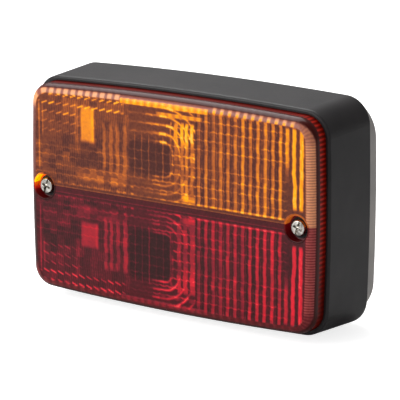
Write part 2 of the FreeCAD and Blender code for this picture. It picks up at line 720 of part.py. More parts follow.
def bulb_stem(half):
    """Glass stem that seals the neck and holds the support wires."""
    z = HALVES[half] * AXIS_Z
    radius = NECK_RADIUS - GLASS_WALL - STEM_GAP
    disc = bar(STEM_X, STEM_X + STEM_DISC, z, radius)
    cone = Part.makeCone(
        radius, STEM_TIP_RADIUS, STEM_CONE, at(STEM_X + STEM_DISC, AXIS_DEPTH, z),
        FreeCAD.Vector(1, 0, 0),
    )
    return fuse([disc, cone])


def bulb_filaments(half):
    """Filament coils on their support wires: one coil in the upper bulb, two in the lower."""
    z = HALVES[half] * AXIS_Z
    start = STEM_X + STEM_DISC + STEM_CONE
    coils = []
    offsets = [0.0] if half == "upper" else [-1.2, 1.2]
    for number, shift in enumerate(offsets):
        depth = AXIS_DEPTH + shift
        end = GLASS_X - number * FILAMENT_SPACING
        wires = [
            bar(start, end, z + side * WIRE_OFFSET / 1.2, WIRE_RADIUS, depth) for side in (-1, 1)
        ]
        coil = Part.makeCylinder(
            FILAMENT_RADIUS, 2 * WIRE_OFFSET, at(end, depth, z - WIRE_OFFSET),
            FreeCAD.Vector(0, 0, 1),
        )
        coils.append(fuse([coil] + wires))
    return Part.makeCompound(coils)


def socket_sleeve(half):
    """Bayonet sleeve with a slot for each pin, cut along the push-and-twist path."""
    z = HALVES[half] * AXIS_Z
    start = BRACKET_X + BRACKET_SHEET
    mouth = LUG_X + SLEEVE_MOUTH_FROM_LUG
    outer = SLEEVE_RADIUS + SLEEVE_WALL
    sleeve = bar(start, mouth, z, outer).cut(bar(start - 1, mouth + 1, z, SLEEVE_RADIUS))
    reach = outer + 1
    inner = CAP_RADIUS - 1
    slot = LUG_RADIUS + LUG_GAP
    for way, x in lug_places(half):
        tools = []
        for step in range(SLOT_STEPS + 1):
            share = step / SLOT_STEPS
            tools.append(
                radial_rod(z, x - share * PUSH, way, share * TWIST, slot, inner, reach)
            )
        step_out = slot
        place = x - PUSH
        while place < mouth + slot:
            tools.append(radial_rod(z, place, way, TWIST, slot, inner, reach))
            place += step_out
        sleeve = sleeve.cut(tools[0].fuse(tools[1:]))
    return sleeve


def socket_bracket(half):
    """Folded plate: the foot lies on the tray and the upright carries the sleeve."""
    z = HALVES[half] * AXIS_Z
    plate_x = BRACKET_X + BRACKET_SHEET
    low, high = z - BRACKET_HALF_WIDTH, z + BRACKET_HALF_WIDTH
    top = AXIS_DEPTH + BRACKET_ABOVE_AXIS
    upright = block(BRACKET_X, plate_x, low, high, TRAY_FLOOR, top)
    upright = upright.cut(bar(BRACKET_X - 1, plate_x + 1, z, SLEEVE_RADIUS))
    foot = block(plate_x, plate_x + BRACKET_FLANGE, low, high, TRAY_FLOOR, TRAY_FLOOR + BRACKET_SHEET)
    bracket = fuse([upright, foot])
    for dz in (-RIVET_OFFSET_Z, RIVET_OFFSET_Z):
        bracket = bracket.cut(rod(FLANGE_X, z + dz, RIVET_RADIUS + ROUND_GAP, 0, LENS_FRONT))
    return bracket


def bracket_rivets():
    """Rivets through bracket foot, tray and earth strip."""
    rivets = []
    front = TRAY_FLOOR + BRACKET_SHEET
    rear = TRAY_DEPTH - STRIP_SHEET
    for turn in HALVES.values():
        for dz in (-RIVET_OFFSET_Z, RIVET_OFFSET_Z):
            z = turn * AXIS_Z + dz
            rivets.append(fuse([
                rod(FLANGE_X, z, RIVET_HEAD_RADIUS, rear - RIVET_HEAD_HEIGHT, rear),
                rod(FLANGE_X, z, RIVET_RADIUS, rear, front),
                rod(FLANGE_X, z, RIVET_HEAD_RADIUS, front, front + RIVET_HEAD_HEIGHT),
            ]))
    return Part.makeCompound(rivets)


def socket_cup(half):
    """Insulating cup behind the bracket, with a hole for each contact's tail."""
    z = HALVES[half] * AXIS_Z
    outer = SLEEVE_RADIUS + CUP_WALL
    cup = bar(STRIP_X, BRACKET_X, z, outer).cut(bar(CUP_X, BRACKET_X + 1, z, SLEEVE_RADIUS))
    for row in contact_rows(half):
        cup = cup.cut(bar(STRIP_X - 1, CUP_X + 1, row, PIN_RADIUS + PIN_HOLE_GAP))
    return cup


def contact_plunger(half):
    """Insulating disc that slides in the socket and carries the contacts."""
    z = HALVES[half] * AXIS_Z
    disc = bar(PLUNGER_X - PLUNGER_DISC, PLUNGER_X, z, SLEEVE_RADIUS - PLUNGER_GAP)
    for row in contact_rows(half):
        disc = disc.cut(bar(PLUNGER_X - PLUNGER_DISC - 1, PLUNGER_X + 1, row, PIN_RADIUS + ROUND_GAP))
    return disc


def contact_pins(half):
    """Brass contacts with long tails that run back through the cup and strip."""
    pins = []
    tail = STRIP_X - STRIP_SHEET - PIN_TAIL
    for row in contact_rows(half):
        head = bar(PLUNGER_X, SOLDER_X, row, PIN_HEAD_RADIUS)
        pins.append(fuse([head, bar(tail, PLUNGER_X, row, PIN_RADIUS)]))
    return Part.makeCompound(pins)


def wire_section():
    """Round section of the coil's wire, in four arcs."""
    arcs = []
    for quarter in range(4):
        start = math.radians(90 * quarter)
        points = [
            FreeCAD.Vector(
                SPRING_RADIUS + SPRING_WIRE * math.cos(start + turn), 0,
                SPRING_WIRE * math.sin(start + turn),
            )
            for turn in (0, math.pi / 4, math.pi / 2)
        ]
        arcs.append(Part.Arc(*points).toShape())
    return Part.Wire(arcs)


def socket_spring(half):
    """Coil spring between the cup's floor and the plunger."""
    z = HALVES[half] * AXIS_Z
    low = CUP_X + SPRING_WIRE
    high = PLUNGER_X - PLUNGER_DISC - SPRING_WIRE
    pitch = (high - low) / SPRING_TURNS
    helix = Part.makeHelix(pitch, high - low, SPRING_RADIUS)
    coil = Part.Wire(helix.Edges).makePipeShell([wire_section()], True, True)
    turn = FreeCAD.Rotation(FreeCAD.Vector(0, 1, 0), 90)
    coil.Placement = FreeCAD.Placement(at(low, AXIS_DEPTH, z), turn)
    return coil


# ---- wiring ----
def terminal_block():
    """Insulating block with a pocket for each clamp."""
    end = TERMINAL_COUNT * TERMINAL_PITCH / 2
    half = TERMINAL_BLOCK_HALF
    body = block(-end, end, -half, half, FLOOR, TERMINAL_TOP)
    pocket = CLAMP_HEIGHT
    for x in TERMINAL_X:
        half_x = CLAMP_WIDTH / 2 + CLAMP_POCKET_GAP
        half_z = CLAMP_LENGTH / 2 + CLAMP_POCKET_GAP
        body = body.cut(
            block(
                x - half_x, x + half_x, -half_z, half_z,
                TERMINAL_TOP - pocket, TERMINAL_TOP + 1,
            )
        )
        wire = Part.makeCylinder(
            CLAMP_WIRE_RADIUS, 4 * half, at(x, clamp_wire_depth(), -2 * half),
            FreeCAD.Vector(0, 0, 1),
        )
        body = body.cut(wire)
    return body


def clamp_wire_depth():
    """Depth of the wire holes through the clamps."""
    return TERMINAL_TOP - CLAMP_HEIGHT / 2


def terminal_screw_tip():
    """Depth of the terminal screws' tips."""
    return TERMINAL_TOP + STRIP_SHEET - TERMINAL_SCREW_LENGTH


def terminal_clamps():
    """Brass clamps, one per terminal."""
    clamps = []
    for x in TERMINAL_X:
        half_x = CLAMP_WIDTH / 2
        half_z = CLAMP_LENGTH / 2
        body = block(
            x - half_x, x + half_x, -half_z, half_z, TERMINAL_TOP - CLAMP_HEIGHT, TERMINAL_TOP
        )
        wire = Part.makeCylinder(
            CLAMP_WIRE_RADIUS, 2 * CLAMP_LENGTH, at(x, clamp_wire_depth(), -CLAMP_LENGTH),
            FreeCAD.Vector(0, 0, 1),
        )
        tip = terminal_screw_tip() - ROUND_GAP
        hole = rod(x, 0, TERMINAL_SCREW_RADIUS + ROUND_GAP, tip, TERMINAL_TOP + 1)
        clamps.append(body.cut(wire).cut(hole))
    return Part.makeCompound(clamps)


def terminal_screws():
    """Terminal screws on the strips' ends."""
    seat = TERMINAL_TOP + STRIP_SHEET
    screws = []
    for x in TERMINAL_X:
        head = pan_head(x, 0, TERMINAL_HEAD_RADIUS, TERMINAL_HEAD_HEIGHT, seat, 1)
        shank = rod(x, 0, TERMINAL_SCREW_RADIUS, terminal_screw_tip(), seat)
        screws.append(fuse([head, shank]))
    return Part.makeCompound(screws)


def strip_hole(x):
    """Hole for a terminal screw in a strip's end."""
    return rod(x, 0, TERMINAL_SCREW_RADIUS + ROUND_GAP, 0, LENS_FRONT)


def contact_strip(half, z, terminal_x):
    """Strip from a contact's tail, behind the tray, to its terminal."""
    width = strip_width(half)
    rear_x = STRIP_X - STRIP_SHEET
    top = TERMINAL_TOP + STRIP_SHEET
    upright = block(
        rear_x, STRIP_X, z - width / 2, z + width / 2, TERMINAL_TOP, AXIS_DEPTH + STRIP_ABOVE_AXIS
    )
    upright = upright.cut(bar(rear_x - 1, STRIP_X + 1, z, PIN_RADIUS + ROUND_GAP))
    along = block(rear_x, terminal_x + width / 2, z - width / 2, z + width / 2, TERMINAL_TOP, top)
    z0, z1 = sorted((-HALVES[half] * TERMINAL_SCREW_RADIUS * 2, z))
    across = block(terminal_x - STRIP_WIDTH / 2, terminal_x + STRIP_WIDTH / 2, z0, z1, TERMINAL_TOP, top)
    return fuse([upright, along, across]).cut(strip_hole(terminal_x))


def earth_strip():
    """Earth strip under both socket brackets, led to its terminal."""
    half = STRIP_WIDTH / 2
    reach = AXIS_Z + RIVET_OFFSET_Z + STRIP_WIDTH
    rear = TRAY_DEPTH - STRIP_SHEET
    bend = -TERMINAL_COUNT * TERMINAL_PITCH / 2 - EARTH_BEND_GAP
    upright = block(FLANGE_X - half, FLANGE_X + half, -reach, reach, rear, TRAY_DEPTH)
    along = block(FLANGE_X, bend, -half, half, rear, TRAY_DEPTH)
    drop = block(bend - STRIP_SHEET, bend, -half, half, TERMINAL_TOP, TRAY_DEPTH)
    end = block(
        bend - STRIP_SHEET, EARTH_X + half, -half, half, TERMINAL_TOP, TERMINAL_TOP + STRIP_SHEET
    )
    strip = fuse([upright, along, drop, end]).cut(strip_hole(EARTH_X))
    for turn in HALVES.values():
        for dz in (-RIVET_OFFSET_Z, RIVET_OFFSET_Z):
            z = turn * AXIS_Z + dz
            strip = strip.cut(rod(FLANGE_X, z, RIVET_RADIUS + ROUND_GAP, 0, LENS_FRONT))
    return strip


def all_nodes():
    """Every sub-part by its node name."""
    tail_z, stop_z = strip_rows("lower")
    nodes = {
        "housing": housing(),
        "rear_base": rear_base(),
        "mounting_gasket": mounting_gasket(),
        "mounting_studs": mounting_studs(),
        "base_screws": base_screws(),
        "cable_grommet": cable_grommet(),
        "lens_seal": lens_seal(),
        "screw_inserts": screw_inserts(),
        "lens_amber": lens_amber(),
        "lens_red": lens_red(),
        "reflector_tray": reflector_tray(),
        "chamber_divider": chamber_divider(),
        "tray_screws": tray_screws(),
        "bracket_rivets": bracket_rivets(),
        "terminal_block": terminal_block(),
        "terminal_clamps": terminal_clamps(),
        "terminal_screws": terminal_screws(),
        "earth_strip": earth_strip(),
        "turn_strip": contact_strip("upper", strip_rows("upper")[0], TURN_X),
        "tail_strip": contact_strip("lower", tail_z, TAIL_X),
        "stop_strip": contact_strip("lower", stop_z, STOP_X),
    }
    for name, side in SIDES.items():
        nodes["lens_screw_" + name] = lens_screw(side)
        nodes["screw_washer_" + name] = screw_washer(side)
    makers = {
        "socket_bracket": socket_bracket,
        "socket_sleeve": socket_sleeve,
        "socket_cup": socket_cup,
        "socket_spring": socket_spring,
        "contact_plunger": contact_plunger,
        "contact_pins": contact_pins,
        "bulb_cap": bulb_cap,
        "bulb_contacts": bulb_contacts,
        "bulb_glass": bulb_glass,
        "bulb_stem": bulb_stem,
        "bulb_filaments": bulb_filaments,
    }
    for half in HALVES:
        for name, make in makers.items():
            nodes[name + "_" + half] = make(half)
    return nodes


def main():
    os.makedirs("parts", exist_ok=True)
    for name, shape in all_nodes().items():
        solids = shape.Solids
        if not solids or not all(s.isValid() and s.isClosed() for s in solids):
            raise SystemExit(name + " is not a closed solid")
        shape.exportStep("parts/" + name + ".step")
        box = shape.BoundBox
        print(
            f"{name:26s} {len(solids)} solids  volume {shape.Volume:9.1f}  "
            f"x {box.XMin:7.2f} {box.XMax:7.2f}  y {box.YMin:7.2f} {box.YMax:7.2f}  "
            f"z {box.ZMin:7.2f} {box.ZMax:7.2f}"
        )


main()
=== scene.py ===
"""Visual model of a rectangular trailer rear lamp: amber turn signal over a red tail and stop light.

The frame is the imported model's: metres, the lens faces -Y, +X is right seen from the front, +Z is up
and the origin is the centre of the rear mounting face. A depth is a distance forward from that face,
so a point at depth d has y = -d. Sizes held by the classes are millimetres, and become metres when a
mesh is made.
"""

import logging
import math
from dataclasses import dataclass, field
from enum import Enum

import bpy
import numpy as np
from mathutils import Matrix, Vector


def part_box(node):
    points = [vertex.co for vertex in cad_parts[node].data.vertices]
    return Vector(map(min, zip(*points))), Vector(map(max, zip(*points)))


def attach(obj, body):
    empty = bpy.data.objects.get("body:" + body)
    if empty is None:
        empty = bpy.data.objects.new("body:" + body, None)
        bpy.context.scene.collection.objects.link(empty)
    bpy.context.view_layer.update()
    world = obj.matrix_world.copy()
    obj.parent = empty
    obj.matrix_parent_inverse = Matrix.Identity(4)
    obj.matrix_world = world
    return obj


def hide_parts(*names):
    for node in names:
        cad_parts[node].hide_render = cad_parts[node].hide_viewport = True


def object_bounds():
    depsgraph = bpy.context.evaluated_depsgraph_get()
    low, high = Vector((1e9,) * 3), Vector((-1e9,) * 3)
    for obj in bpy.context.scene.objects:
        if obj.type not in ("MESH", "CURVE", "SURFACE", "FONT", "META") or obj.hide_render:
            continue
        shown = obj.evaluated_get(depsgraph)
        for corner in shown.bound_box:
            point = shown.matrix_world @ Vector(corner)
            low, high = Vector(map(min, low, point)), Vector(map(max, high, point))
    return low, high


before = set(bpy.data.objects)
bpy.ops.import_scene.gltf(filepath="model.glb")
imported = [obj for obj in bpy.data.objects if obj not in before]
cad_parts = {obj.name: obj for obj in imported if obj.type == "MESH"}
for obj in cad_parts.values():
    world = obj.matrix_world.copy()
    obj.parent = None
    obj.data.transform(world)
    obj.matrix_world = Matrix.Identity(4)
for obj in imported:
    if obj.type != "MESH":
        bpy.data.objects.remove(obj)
CAD_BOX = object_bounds()

MM = 0.001
LOG = logging.getLogger("rear_lamp")
Array = np.ndarray


class Tint(Enum):
    """The two colours of the lens."""

    AMBER = "amber"
    RED = "red"


class Side(Enum):
    """The two lens screws, seen from the front."""

    LEFT = -1
    RIGHT = 1


class Half(Enum):
    """The two light chambers."""

    UPPER = "upper"
    LOWER = "lower"


# ---- arithmetic on whole arrays ----
def smoothstep(value: Array, low: float, high: float) -> Array:
    """Rises from 0 at low to 1 at high along 3t^2 - 2t^3, t being the share of the way.

    Args:
        value: where to read it.
        low: the value that gives 0.
        high: the value that gives 1.

    Returns:
        The share, in the shape of value.
    """
    share = np.clip((value - low) / (high - low), 0.0, 1.0)
    return share * share * (3.0 - 2.0 * share)


def plateau(value: Array, low: float, high: float, edge: float) -> Array:
    """1 between low and high and 0 outside, with both edges softened over twice edge.

    Args:
        value: where to read it.
        low: start of the plateau.
        high: end of the plateau.
        edge: half the width of each softened edge.

    Returns:
        The height, 0 to 1.
    """
    rise = smoothstep(value, low - edge, low + edge)
    return rise * (1.0 - smoothstep(value, high - edge, high + edge))


def bead(value: Array, centre: float, half: float) -> Array:
    """A thin line: 1 at the centre, falling straight to 0 at half a width on each side.

    Args:
        value: where to read it.
        centre: middle of the line.
        half: half of its width.

    Returns:
        The height, 0 to 1.
    """
    return np.clip(1.0 - np.abs(value - centre) / half, 0.0, 1.0)


def from_nearest(value: Array, start: float, pitch: float) -> Array:
    """Signed distance to the nearest of the evenly spaced lines start + k * pitch.

    Args:
        value: where to read it.
        start: one of the lines.
        pitch: distance between lines.

    Returns:
        The distance, between minus and plus half a pitch.
    """
    return np.mod(value - start + pitch / 2.0, pitch) - pitch / 2.0


def scatter(index: Array, seed: float) -> Array:
    """A repeatable uneven number for each whole index: the fraction of a large sine.

    Args:
        index: whole numbers.
        seed: changes the series.

    Returns:
        Numbers from 0 to 1.
    """
    return np.mod(np.sin(index * 12.9898 + seed) * 43758.5453, 1.0)


# ---- meshes ----
@dataclass
class Shell:
    """One closed surface: points in millimetres as x, depth, z, faces, and numbers per point: its painted
    light and shade, and its rim.
    """

    points: Array
    faces: list
    painted_light: Array
    rim: Array
    finish: int = 0

    def outward(self) -> "Shell":
        """Turns every face over if the shell's signed volume is negative.

        Returns:
            The shell itself.
        """
        xyz = self.points * np.array([1.0, -1.0, 1.0])
        total = 0.0
        for faces in self.faces:
            first = xyz[faces[:, 0]]
            for k in range(1, faces.shape[1] - 1):
                cross = np.cross(xyz[faces[:, k]], xyz[faces[:, k + 1]])
                total += float((first * cross).sum())
        if total < 0.0:
            self.faces = [faces[:, ::-1] for faces in self.faces]
        return self


def grid_faces(rows: int, columns: int, wrap_rows: bool = False, wrap_columns: bool = False) -> Array:
    """Quads of a grid of points numbered row by row.

    Args:
        rows: number of rows of points.
        columns: points in a row.
        wrap_rows: the last row joins the first.
        wrap_columns: the last column joins the first.

    Returns:
        One row of four point numbers per quad.
    """
    row = np.arange(rows if wrap_rows else rows - 1)[:, None]
    column = np.arange(columns if wrap_columns else columns - 1)[None, :]
    next_row = (row + 1) % rows
    next_column = (column + 1) % columns
    corners = [
        row * columns + column,
        row * columns + next_column,
        next_row * columns + next_column,
        next_row * columns + column,
    ]
    return np.stack([c.ravel() for c in corners], axis=1)


def walled(outer: Array, inner: Array, quads: Array, painted_light: Array, rim: Array, finish: int) -> Shell:
    """A wall between two surfaces of one pattern of quads, closed along every open edge.

    An edge that only one quad uses is open, and gets a quad across the wall.

    Args:
        outer: points of the outer surface.
        inner: points of the inner surface, in the same order.
        quads: faces of the outer surface.
        painted_light: painted light and shade per outer point, 0 to 1.
        rim: number per outer point.
        finish: slot of the material.

    Returns:
        The closed shell.
    """
    edges = np.concatenate([quads[:, [k, (k + 1) % 4]] for k in range(4)])
    ordered = np.sort(edges, axis=1)
    _, where, counts = np.unique(ordered, axis=0, return_inverse=True, return_counts=True)
    open_edges = edges[counts[where.ravel()] == 1]
    count = len(outer)
    across = np.stack(
        [open_edges[:, 1], open_edges[:, 0], open_edges[:, 0] + count, open_edges[:, 1] + count], axis=1
    )
    faces = np.concatenate([quads, quads[:, ::-1] + count, across])
    used = np.unique(faces)
    renumber = np.zeros(2 * count, int)
    renumber[used] = np.arange(len(used))
    points = np.concatenate([outer, inner])[used]
    return Shell(
        points, [renumber[faces]], np.tile(painted_light, 2)[used], np.tile(rim, 2)[used], finish
    ).outward()


def round_points(centre: tuple, radius: Array, angle: Array, depth: Array) -> Array:
    """Points round an axis along the depth: the centre plus the radius at each angle, at each depth.

    Args:
        centre: the axis, as x and z.
        radius: radii, in any shape that fits the angles.
        angle: angles, one row each.
        depth: depths, in any shape that fits both.

    Returns:
        Points by angle and place along the profile.
    """
    x = centre[0] + radius * np.cos(angle)
    z = centre[1] + radius * np.sin(angle)
    return np.stack(np.broadcast_arrays(x, depth, z), axis=-1)


def make_piece(name: str, shells: list, materials: list) -> bpy.types.Object:
    """Puts closed shells into one mesh object at the origin, with its numbers as point attributes.

    Args:
        name: name of the piece.
        shells: the shells.
        materials: one material per finish slot.

    Returns:
        The new object, linked to the scene.
    """
    offset = 0
    points, faces, finish = [], [], []
    for shell in shells:
        points.append(shell.points)
        for block in shell.faces:
            faces.extend((block + offset).tolist())
            finish.append(np.full(len(block), shell.finish))
        offset += len(shell.points)
    xyz = np.concatenate(points) * np.array([MM, -MM, MM])
    mesh = bpy.data.meshes.new(name)
    mesh.from_pydata(xyz.tolist(), [], faces)
    mesh.polygons.foreach_set("material_index", np.concatenate(finish).astype(np.int32))
    # painted_light carries the painted light and shade of each point into the mesh
    for attribute in ("painted_light", "rim"):
        values = np.concatenate([getattr(shell, attribute) for shell in shells]).astype(np.float32)
        mesh.attributes.new(attribute, "FLOAT", "POINT").data.foreach_set("value", values)
    mesh.polygons.foreach_set("use_smooth", np.ones(len(mesh.polygons), bool))
    mesh.set_sharp_from_angle(angle=math.radians(38.0))
    mesh.update()
    for material in materials:
        mesh.materials.append(material)
    piece = bpy.data.objects.new(name, mesh)
    bpy.context.scene.collection.objects.link(piece)
    LOG.info("%s: %d points, %d faces", name, len(xyz), len(faces))
    return piece


# ---- materials ----
def linear(colour: str) -> tuple:
    """An sRGB hex colour as the linear numbers that a shader takes.

    Args:
        colour: six hex digits after a hash.

    Returns:
        Red, green, blue and an alpha of 1.
    """
    shares = [int(colour[k:k + 2], 16) / 255.0 for k in (1, 3, 5)]
    return tuple(s / 12.92 if s <= 0.04045 else ((s + 0.055) / 1.055) ** 2.4 for s in shares) + (1.0,)


def add_node(
    tree: bpy.types.NodeTree, kind: str, settings: dict | None = None, links: dict | None = None
) -> bpy.types.Node:
    """Adds one node with its settings and its links.

    Args:
        tree: the node tree.
        kind: the node's type.
        settings: an attribute's name, or an input's name or number, and its value.
        links: an input's name or number, and the output that feeds it.

    Returns:
        The new node.
    """
    node = tree.nodes.new(kind)
    for name, value in (settings or {}).items():
        if isinstance(name, str) and hasattr(node, name):
            setattr(node, name, value)
        else:
            node.inputs[name].default_value = value
    for name, output in (links or {}).items():
        tree.links.new(output, node.inputs[name])
    return node


def ramp_node(tree: bpy.types.NodeTree, stops: list, source: bpy.types.NodeSocket) -> bpy.types.Node:
    """Adds a colour ramp.

    Args:
        tree: the node tree.
        stops: place and hex colour of each stop, in order.
        source: the output that the ramp reads.

    Returns:
        The ramp.
    """
    node = add_node(tree, "ShaderNodeValToRGB", links={"Fac": source})
    ramp = node.color_ramp
    while len(ramp.elements) < len(stops):
        ramp.elements.new(0.5)
    for element, (place, colour) in zip(ramp.elements, stops):
        element.position = place
        element.color = linear(colour)
    return node


def per_metre(size: float) -> float:
    """Scale of a pattern whose features are that many millimetres across."""
    return 1.0 / (size * MM)


def noise(tree: bpy.types.NodeTree, size_mm: float, detail: float = 2.0) -> bpy.types.NodeSocket:
    """Adds a noise in the object's own coordinates.

    Args:
        tree: the node tree.
        size_mm: size of its features in millimetres.
        detail: number of finer layers.

    Returns:
        Its output, about 0 to 1.
    """
    place = add_node(tree, "ShaderNodeTexCoord").outputs["Object"]
    settings = {"Scale": per_metre(size_mm), "Detail": detail}
    return add_node(tree, "ShaderNodeTexNoise", settings, {"Vector": place}).outputs["Fac"]


def spread(
    tree: bpy.types.NodeTree, source: bpy.types.NodeSocket, low: float, high: float
) -> bpy.types.NodeSocket:
    """Adds a map of 0 to 1 onto low to high.

    Args:
        tree: the node tree.
        source: the output it reads.
        low: the value for 0.
        high: the value for 1.

    Returns:
        Its output.
    """
    return add_node(tree, "ShaderNodeMapRange", {"To Min": low, "To Max": high}, {"Value": source}).outputs[0]


def relief(
    tree: bpy.types.NodeTree, source: bpy.types.NodeSocket, strength: float, lift_mm: float
) -> bpy.types.NodeSocket:
    """Adds a fine unevenness of the surface.

    Args:
        tree: the node tree.
        source: the output that gives its height.
        strength: share of it that shows.
        lift_mm: its height in millimetres.

    Returns:
        Its output.
    """
    settings = {"Strength": strength, "Distance": lift_mm * MM}
    return add_node(tree, "ShaderNodeBump", settings, {"Height": source}).outputs[0]


def new_material(name: str) -> tuple:
    """A material with an empty tree.

    Args:
        name: name of the material.

    Returns:
        The material and its tree.
    """
    material = bpy.data.materials.new(name)
    material.use_nodes = True
    material.node_tree.nodes.clear()
    return material, material.node_tree


def end_with(tree: bpy.types.NodeTree, shader: bpy.types.Node) -> None:
    """Links a shader to the tree's output."""
    add_node(tree, "ShaderNodeOutputMaterial", links={"Surface": shader.outputs[0]})


@dataclass(frozen=True)
class Moulding:
    """An opaque moulding or coated part: a soft mottle of two colours and a fine grain.

    The mottle is a slow noise between the two colours. The grain is a fine noise that moves the
    roughness and lifts the surface.
    """

    name: str
    dark: str
    light: str
    roughness: float
    grain_mm: float
    mottle_mm: float = 14.0
    lift_mm: float = 0.02
    ior: float = 1.5
    specular: float = 0.5
    metallic: float = 0.0
    coat: float = 0.0

    def build(self) -> bpy.types.Material:
        """Makes the material.

        Returns:
            The material.
        """
        material, tree = new_material(self.name)
        mottle = noise(tree, self.mottle_mm, 3.0)
        colour = ramp_node(tree, [(0.35, self.dark), (0.65, self.light)], mottle)
        grain = noise(tree, self.grain_mm)
        rough = spread(tree, grain, self.roughness * 0.82, self.roughness * 1.18)
        bump = relief(tree, grain, 0.6, self.lift_mm)
        shader = add_node(
            tree,
            "ShaderNodeBsdfPrincipled",
            {
                "IOR": self.ior,
                "Specular IOR Level": self.specular,
                "Metallic": self.metallic,
                "Coat Weight": self.coat,
                "Coat Roughness": 0.08,
            },
            {"Base Color": colour.outputs["Color"], "Roughness": rough, "Normal": bump},
        )
        end_with(tree, shader)
        return material


@dataclass(frozen=True)
class Metal:
    """A bare or plated metal: clean colour, brushed or barrel-tumbled roughness, a few dull patches."""

    name: str
    colour: str
    dull: str
    roughness: float
    scratch_mm: float = 0.5
    scratch_lift_mm: float = 0.01
    patch_mm: float = 5.0

    def build(self) -> bpy.types.Material:
        """Makes the material.

        Returns:
            The material.
        """
        material, tree = new_material(self.name)
        patch = noise(tree, self.patch_mm, 4.0)
        colour = ramp_node(tree, [(0.38, self.dull), (0.58, self.colour)], patch)
        scratch = noise(tree, self.scratch_mm, 3.0)
        rough = spread(tree, scratch, self.roughness * 0.6, self.roughness * 1.4)
        bump = relief(tree, scratch, 0.4, self.scratch_lift_mm)
        shader = add_node(
            tree,
            "ShaderNodeBsdfPrincipled",
            {"Metallic": 1.0},
            {"Base Color": colour.outputs["Color"], "Roughness": rough, "Normal": bump},
        )
        end_with(tree, shader)
        return material


@dataclass(frozen=True)
class LampGlass:
    """Blown soda glass: clear, smooth, with a faint unevenness in its gloss."""

    name: str = "blown_soda_glass"
    colour: str = "#F4F7F6"
    wave_mm: float = 9.0
    ior: float = 1.52

    def build(self) -> bpy.types.Material:
        """Makes the material.

        Returns:
            The material.
        """
        material, tree = new_material(self.name)
        rough = spread(tree, noise(tree, self.wave_mm), 0.01, 0.05)
        shader = add_node(
            tree,
            "ShaderNodeBsdfPrincipled",
            {"Base Color": linear(self.colour), "IOR": self.ior, "Transmission Weight": 1.0},
            {"Roughness": rough},
        )
        end_with(tree, shader)
        return material


@dataclass(frozen=True)
class OpticAcrylic:
    """Moulded acrylic with the light and shade of its optics painted into its colour: dark for painted shade,
    bright for painted light.

    The piece's painted_light attribute is the painted light and shade of the optics at a point, 0 to 1.
    Its rim attribute is 1 on the rounded border, which is painted milkier for the light that crosses it
    edgeways, and rises to 2 where painted shade darkens the border's foot into the deep red of the skirt
    behind it. painted_glow is a glow painted in by emission, as though the plastic carried light from its
    lit faces and sent it out here.
    """

    name: str
    window: tuple
    border: tuple
    # edge: colour of the painted shade on the border's foot, where rim goes past 1
    edge: str = "#3C0602"
    transmission: float = 0.06
    # painted glow: emission strength, as though the plastic sent light on, though it is no lamp
    painted_glow: float = 0.04
    coat: float = 0.09
    waver: float = 0.22
    waver_mm: float = 1.2
    ior: float = 1.49

    def build(self) -> bpy.types.Material:
        """Makes the material.

        Returns:
            The material.
        """
        material, tree = new_material(self.name)
        painted_light = add_node(tree, "ShaderNodeAttribute", {"attribute_name": "painted_light"})
        rim = add_node(tree, "ShaderNodeAttribute", {"attribute_name": "rim"})
        waver = add_node(
            tree,
            "ShaderNodeMath",
            {"operation": "MULTIPLY_ADD", 1: self.waver, 2: -self.waver / 2.0},
            {0: noise(tree, self.waver_mm)},
        )
        level = add_node(
            tree, "ShaderNodeMath", {"operation": "ADD"}, {0: painted_light.outputs["Fac"], 1: waver.outputs[0]}
        )
        # The ramps turn the painted light and shade into colour; rim mixes in the border, and past 1 the
        # painted shade of its foot.
        window = ramp_node(tree, list(self.window), level.outputs[0])
        border = ramp_node(tree, list(self.border), level.outputs[0])
        colour = add_node(
            tree,
            "ShaderNodeMix",
            {"data_type": "RGBA"},
            {0: rim.outputs["Fac"], 6: window.outputs["Color"], 7: border.outputs["Color"]},
        )
        past = add_node(
            tree,
            "ShaderNodeMath",
            {"operation": "SUBTRACT", "use_clamp": True, 1: 1.0},
            {0: rim.outputs["Fac"]},
        )
        edged = add_node(
            tree,
            "ShaderNodeMix",
            {"data_type": "RGBA", 7: linear(self.edge)},
            {0: past.outputs[0], 6: colour.outputs[2]},
        )
        shader = add_node(
            tree,
            "ShaderNodeBsdfPrincipled",
            {
                "Roughness": 0.3,
                "IOR": self.ior,
                "Specular IOR Level": 0.12,
                "Transmission Weight": self.transmission,
                "Coat Weight": self.coat,
                "Coat Roughness": 0.04,
                "Coat IOR": self.ior,
                # painted glow: the acrylic emits its own painted colour though it is no lamp
                "Emission Strength": self.painted_glow,
            },
            {"Base Color": edged.outputs[2], "Emission Color": edged.outputs[2]},
        )
        end_with(tree, shader)
        return material


# Amber acrylic moulded against polished optics, with their light and shade painted into its colour:
# warm brown for painted shade, gold for painted light, and milky peach on the border.
AMBER_ACRYLIC = OpticAcrylic(
    "moulded_amber_acrylic",
    window=(
        (0.0, "#381A18"), (0.15, "#542820"), (0.3, "#7E3E24"), (0.46, "#B85E26"),
        (0.62, "#E07C22"), (0.78, "#FF9C0E"), (0.92, "#FFB60A"), (1.0, "#FFC850"),
    ),
    border=((0.0, "#4A2018"), (0.35, "#94564A"), (0.65, "#CC8460"), (1.0, "#FFB27C")),
)
# Red acrylic from the same tool, the second shot, its light and shade painted in: wine-dark painted
# shade in the ground, clear red painted light on the crests.
RED_ACRYLIC = OpticAcrylic(
    "moulded_red_acrylic",
    window=(
        (0.0, "#24100F"), (0.15, "#381416"), (0.3, "#5A161E"), (0.46, "#881C2A"),
        (0.62, "#B2202C"), (0.78, "#D41E30"), (0.92, "#EC2436"), (1.0, "#F04A4C"),
    ),
    border=((0.0, "#280A0C"), (0.35, "#6A1E22"), (0.65, "#A24442"), (1.0, "#C46258")),
)
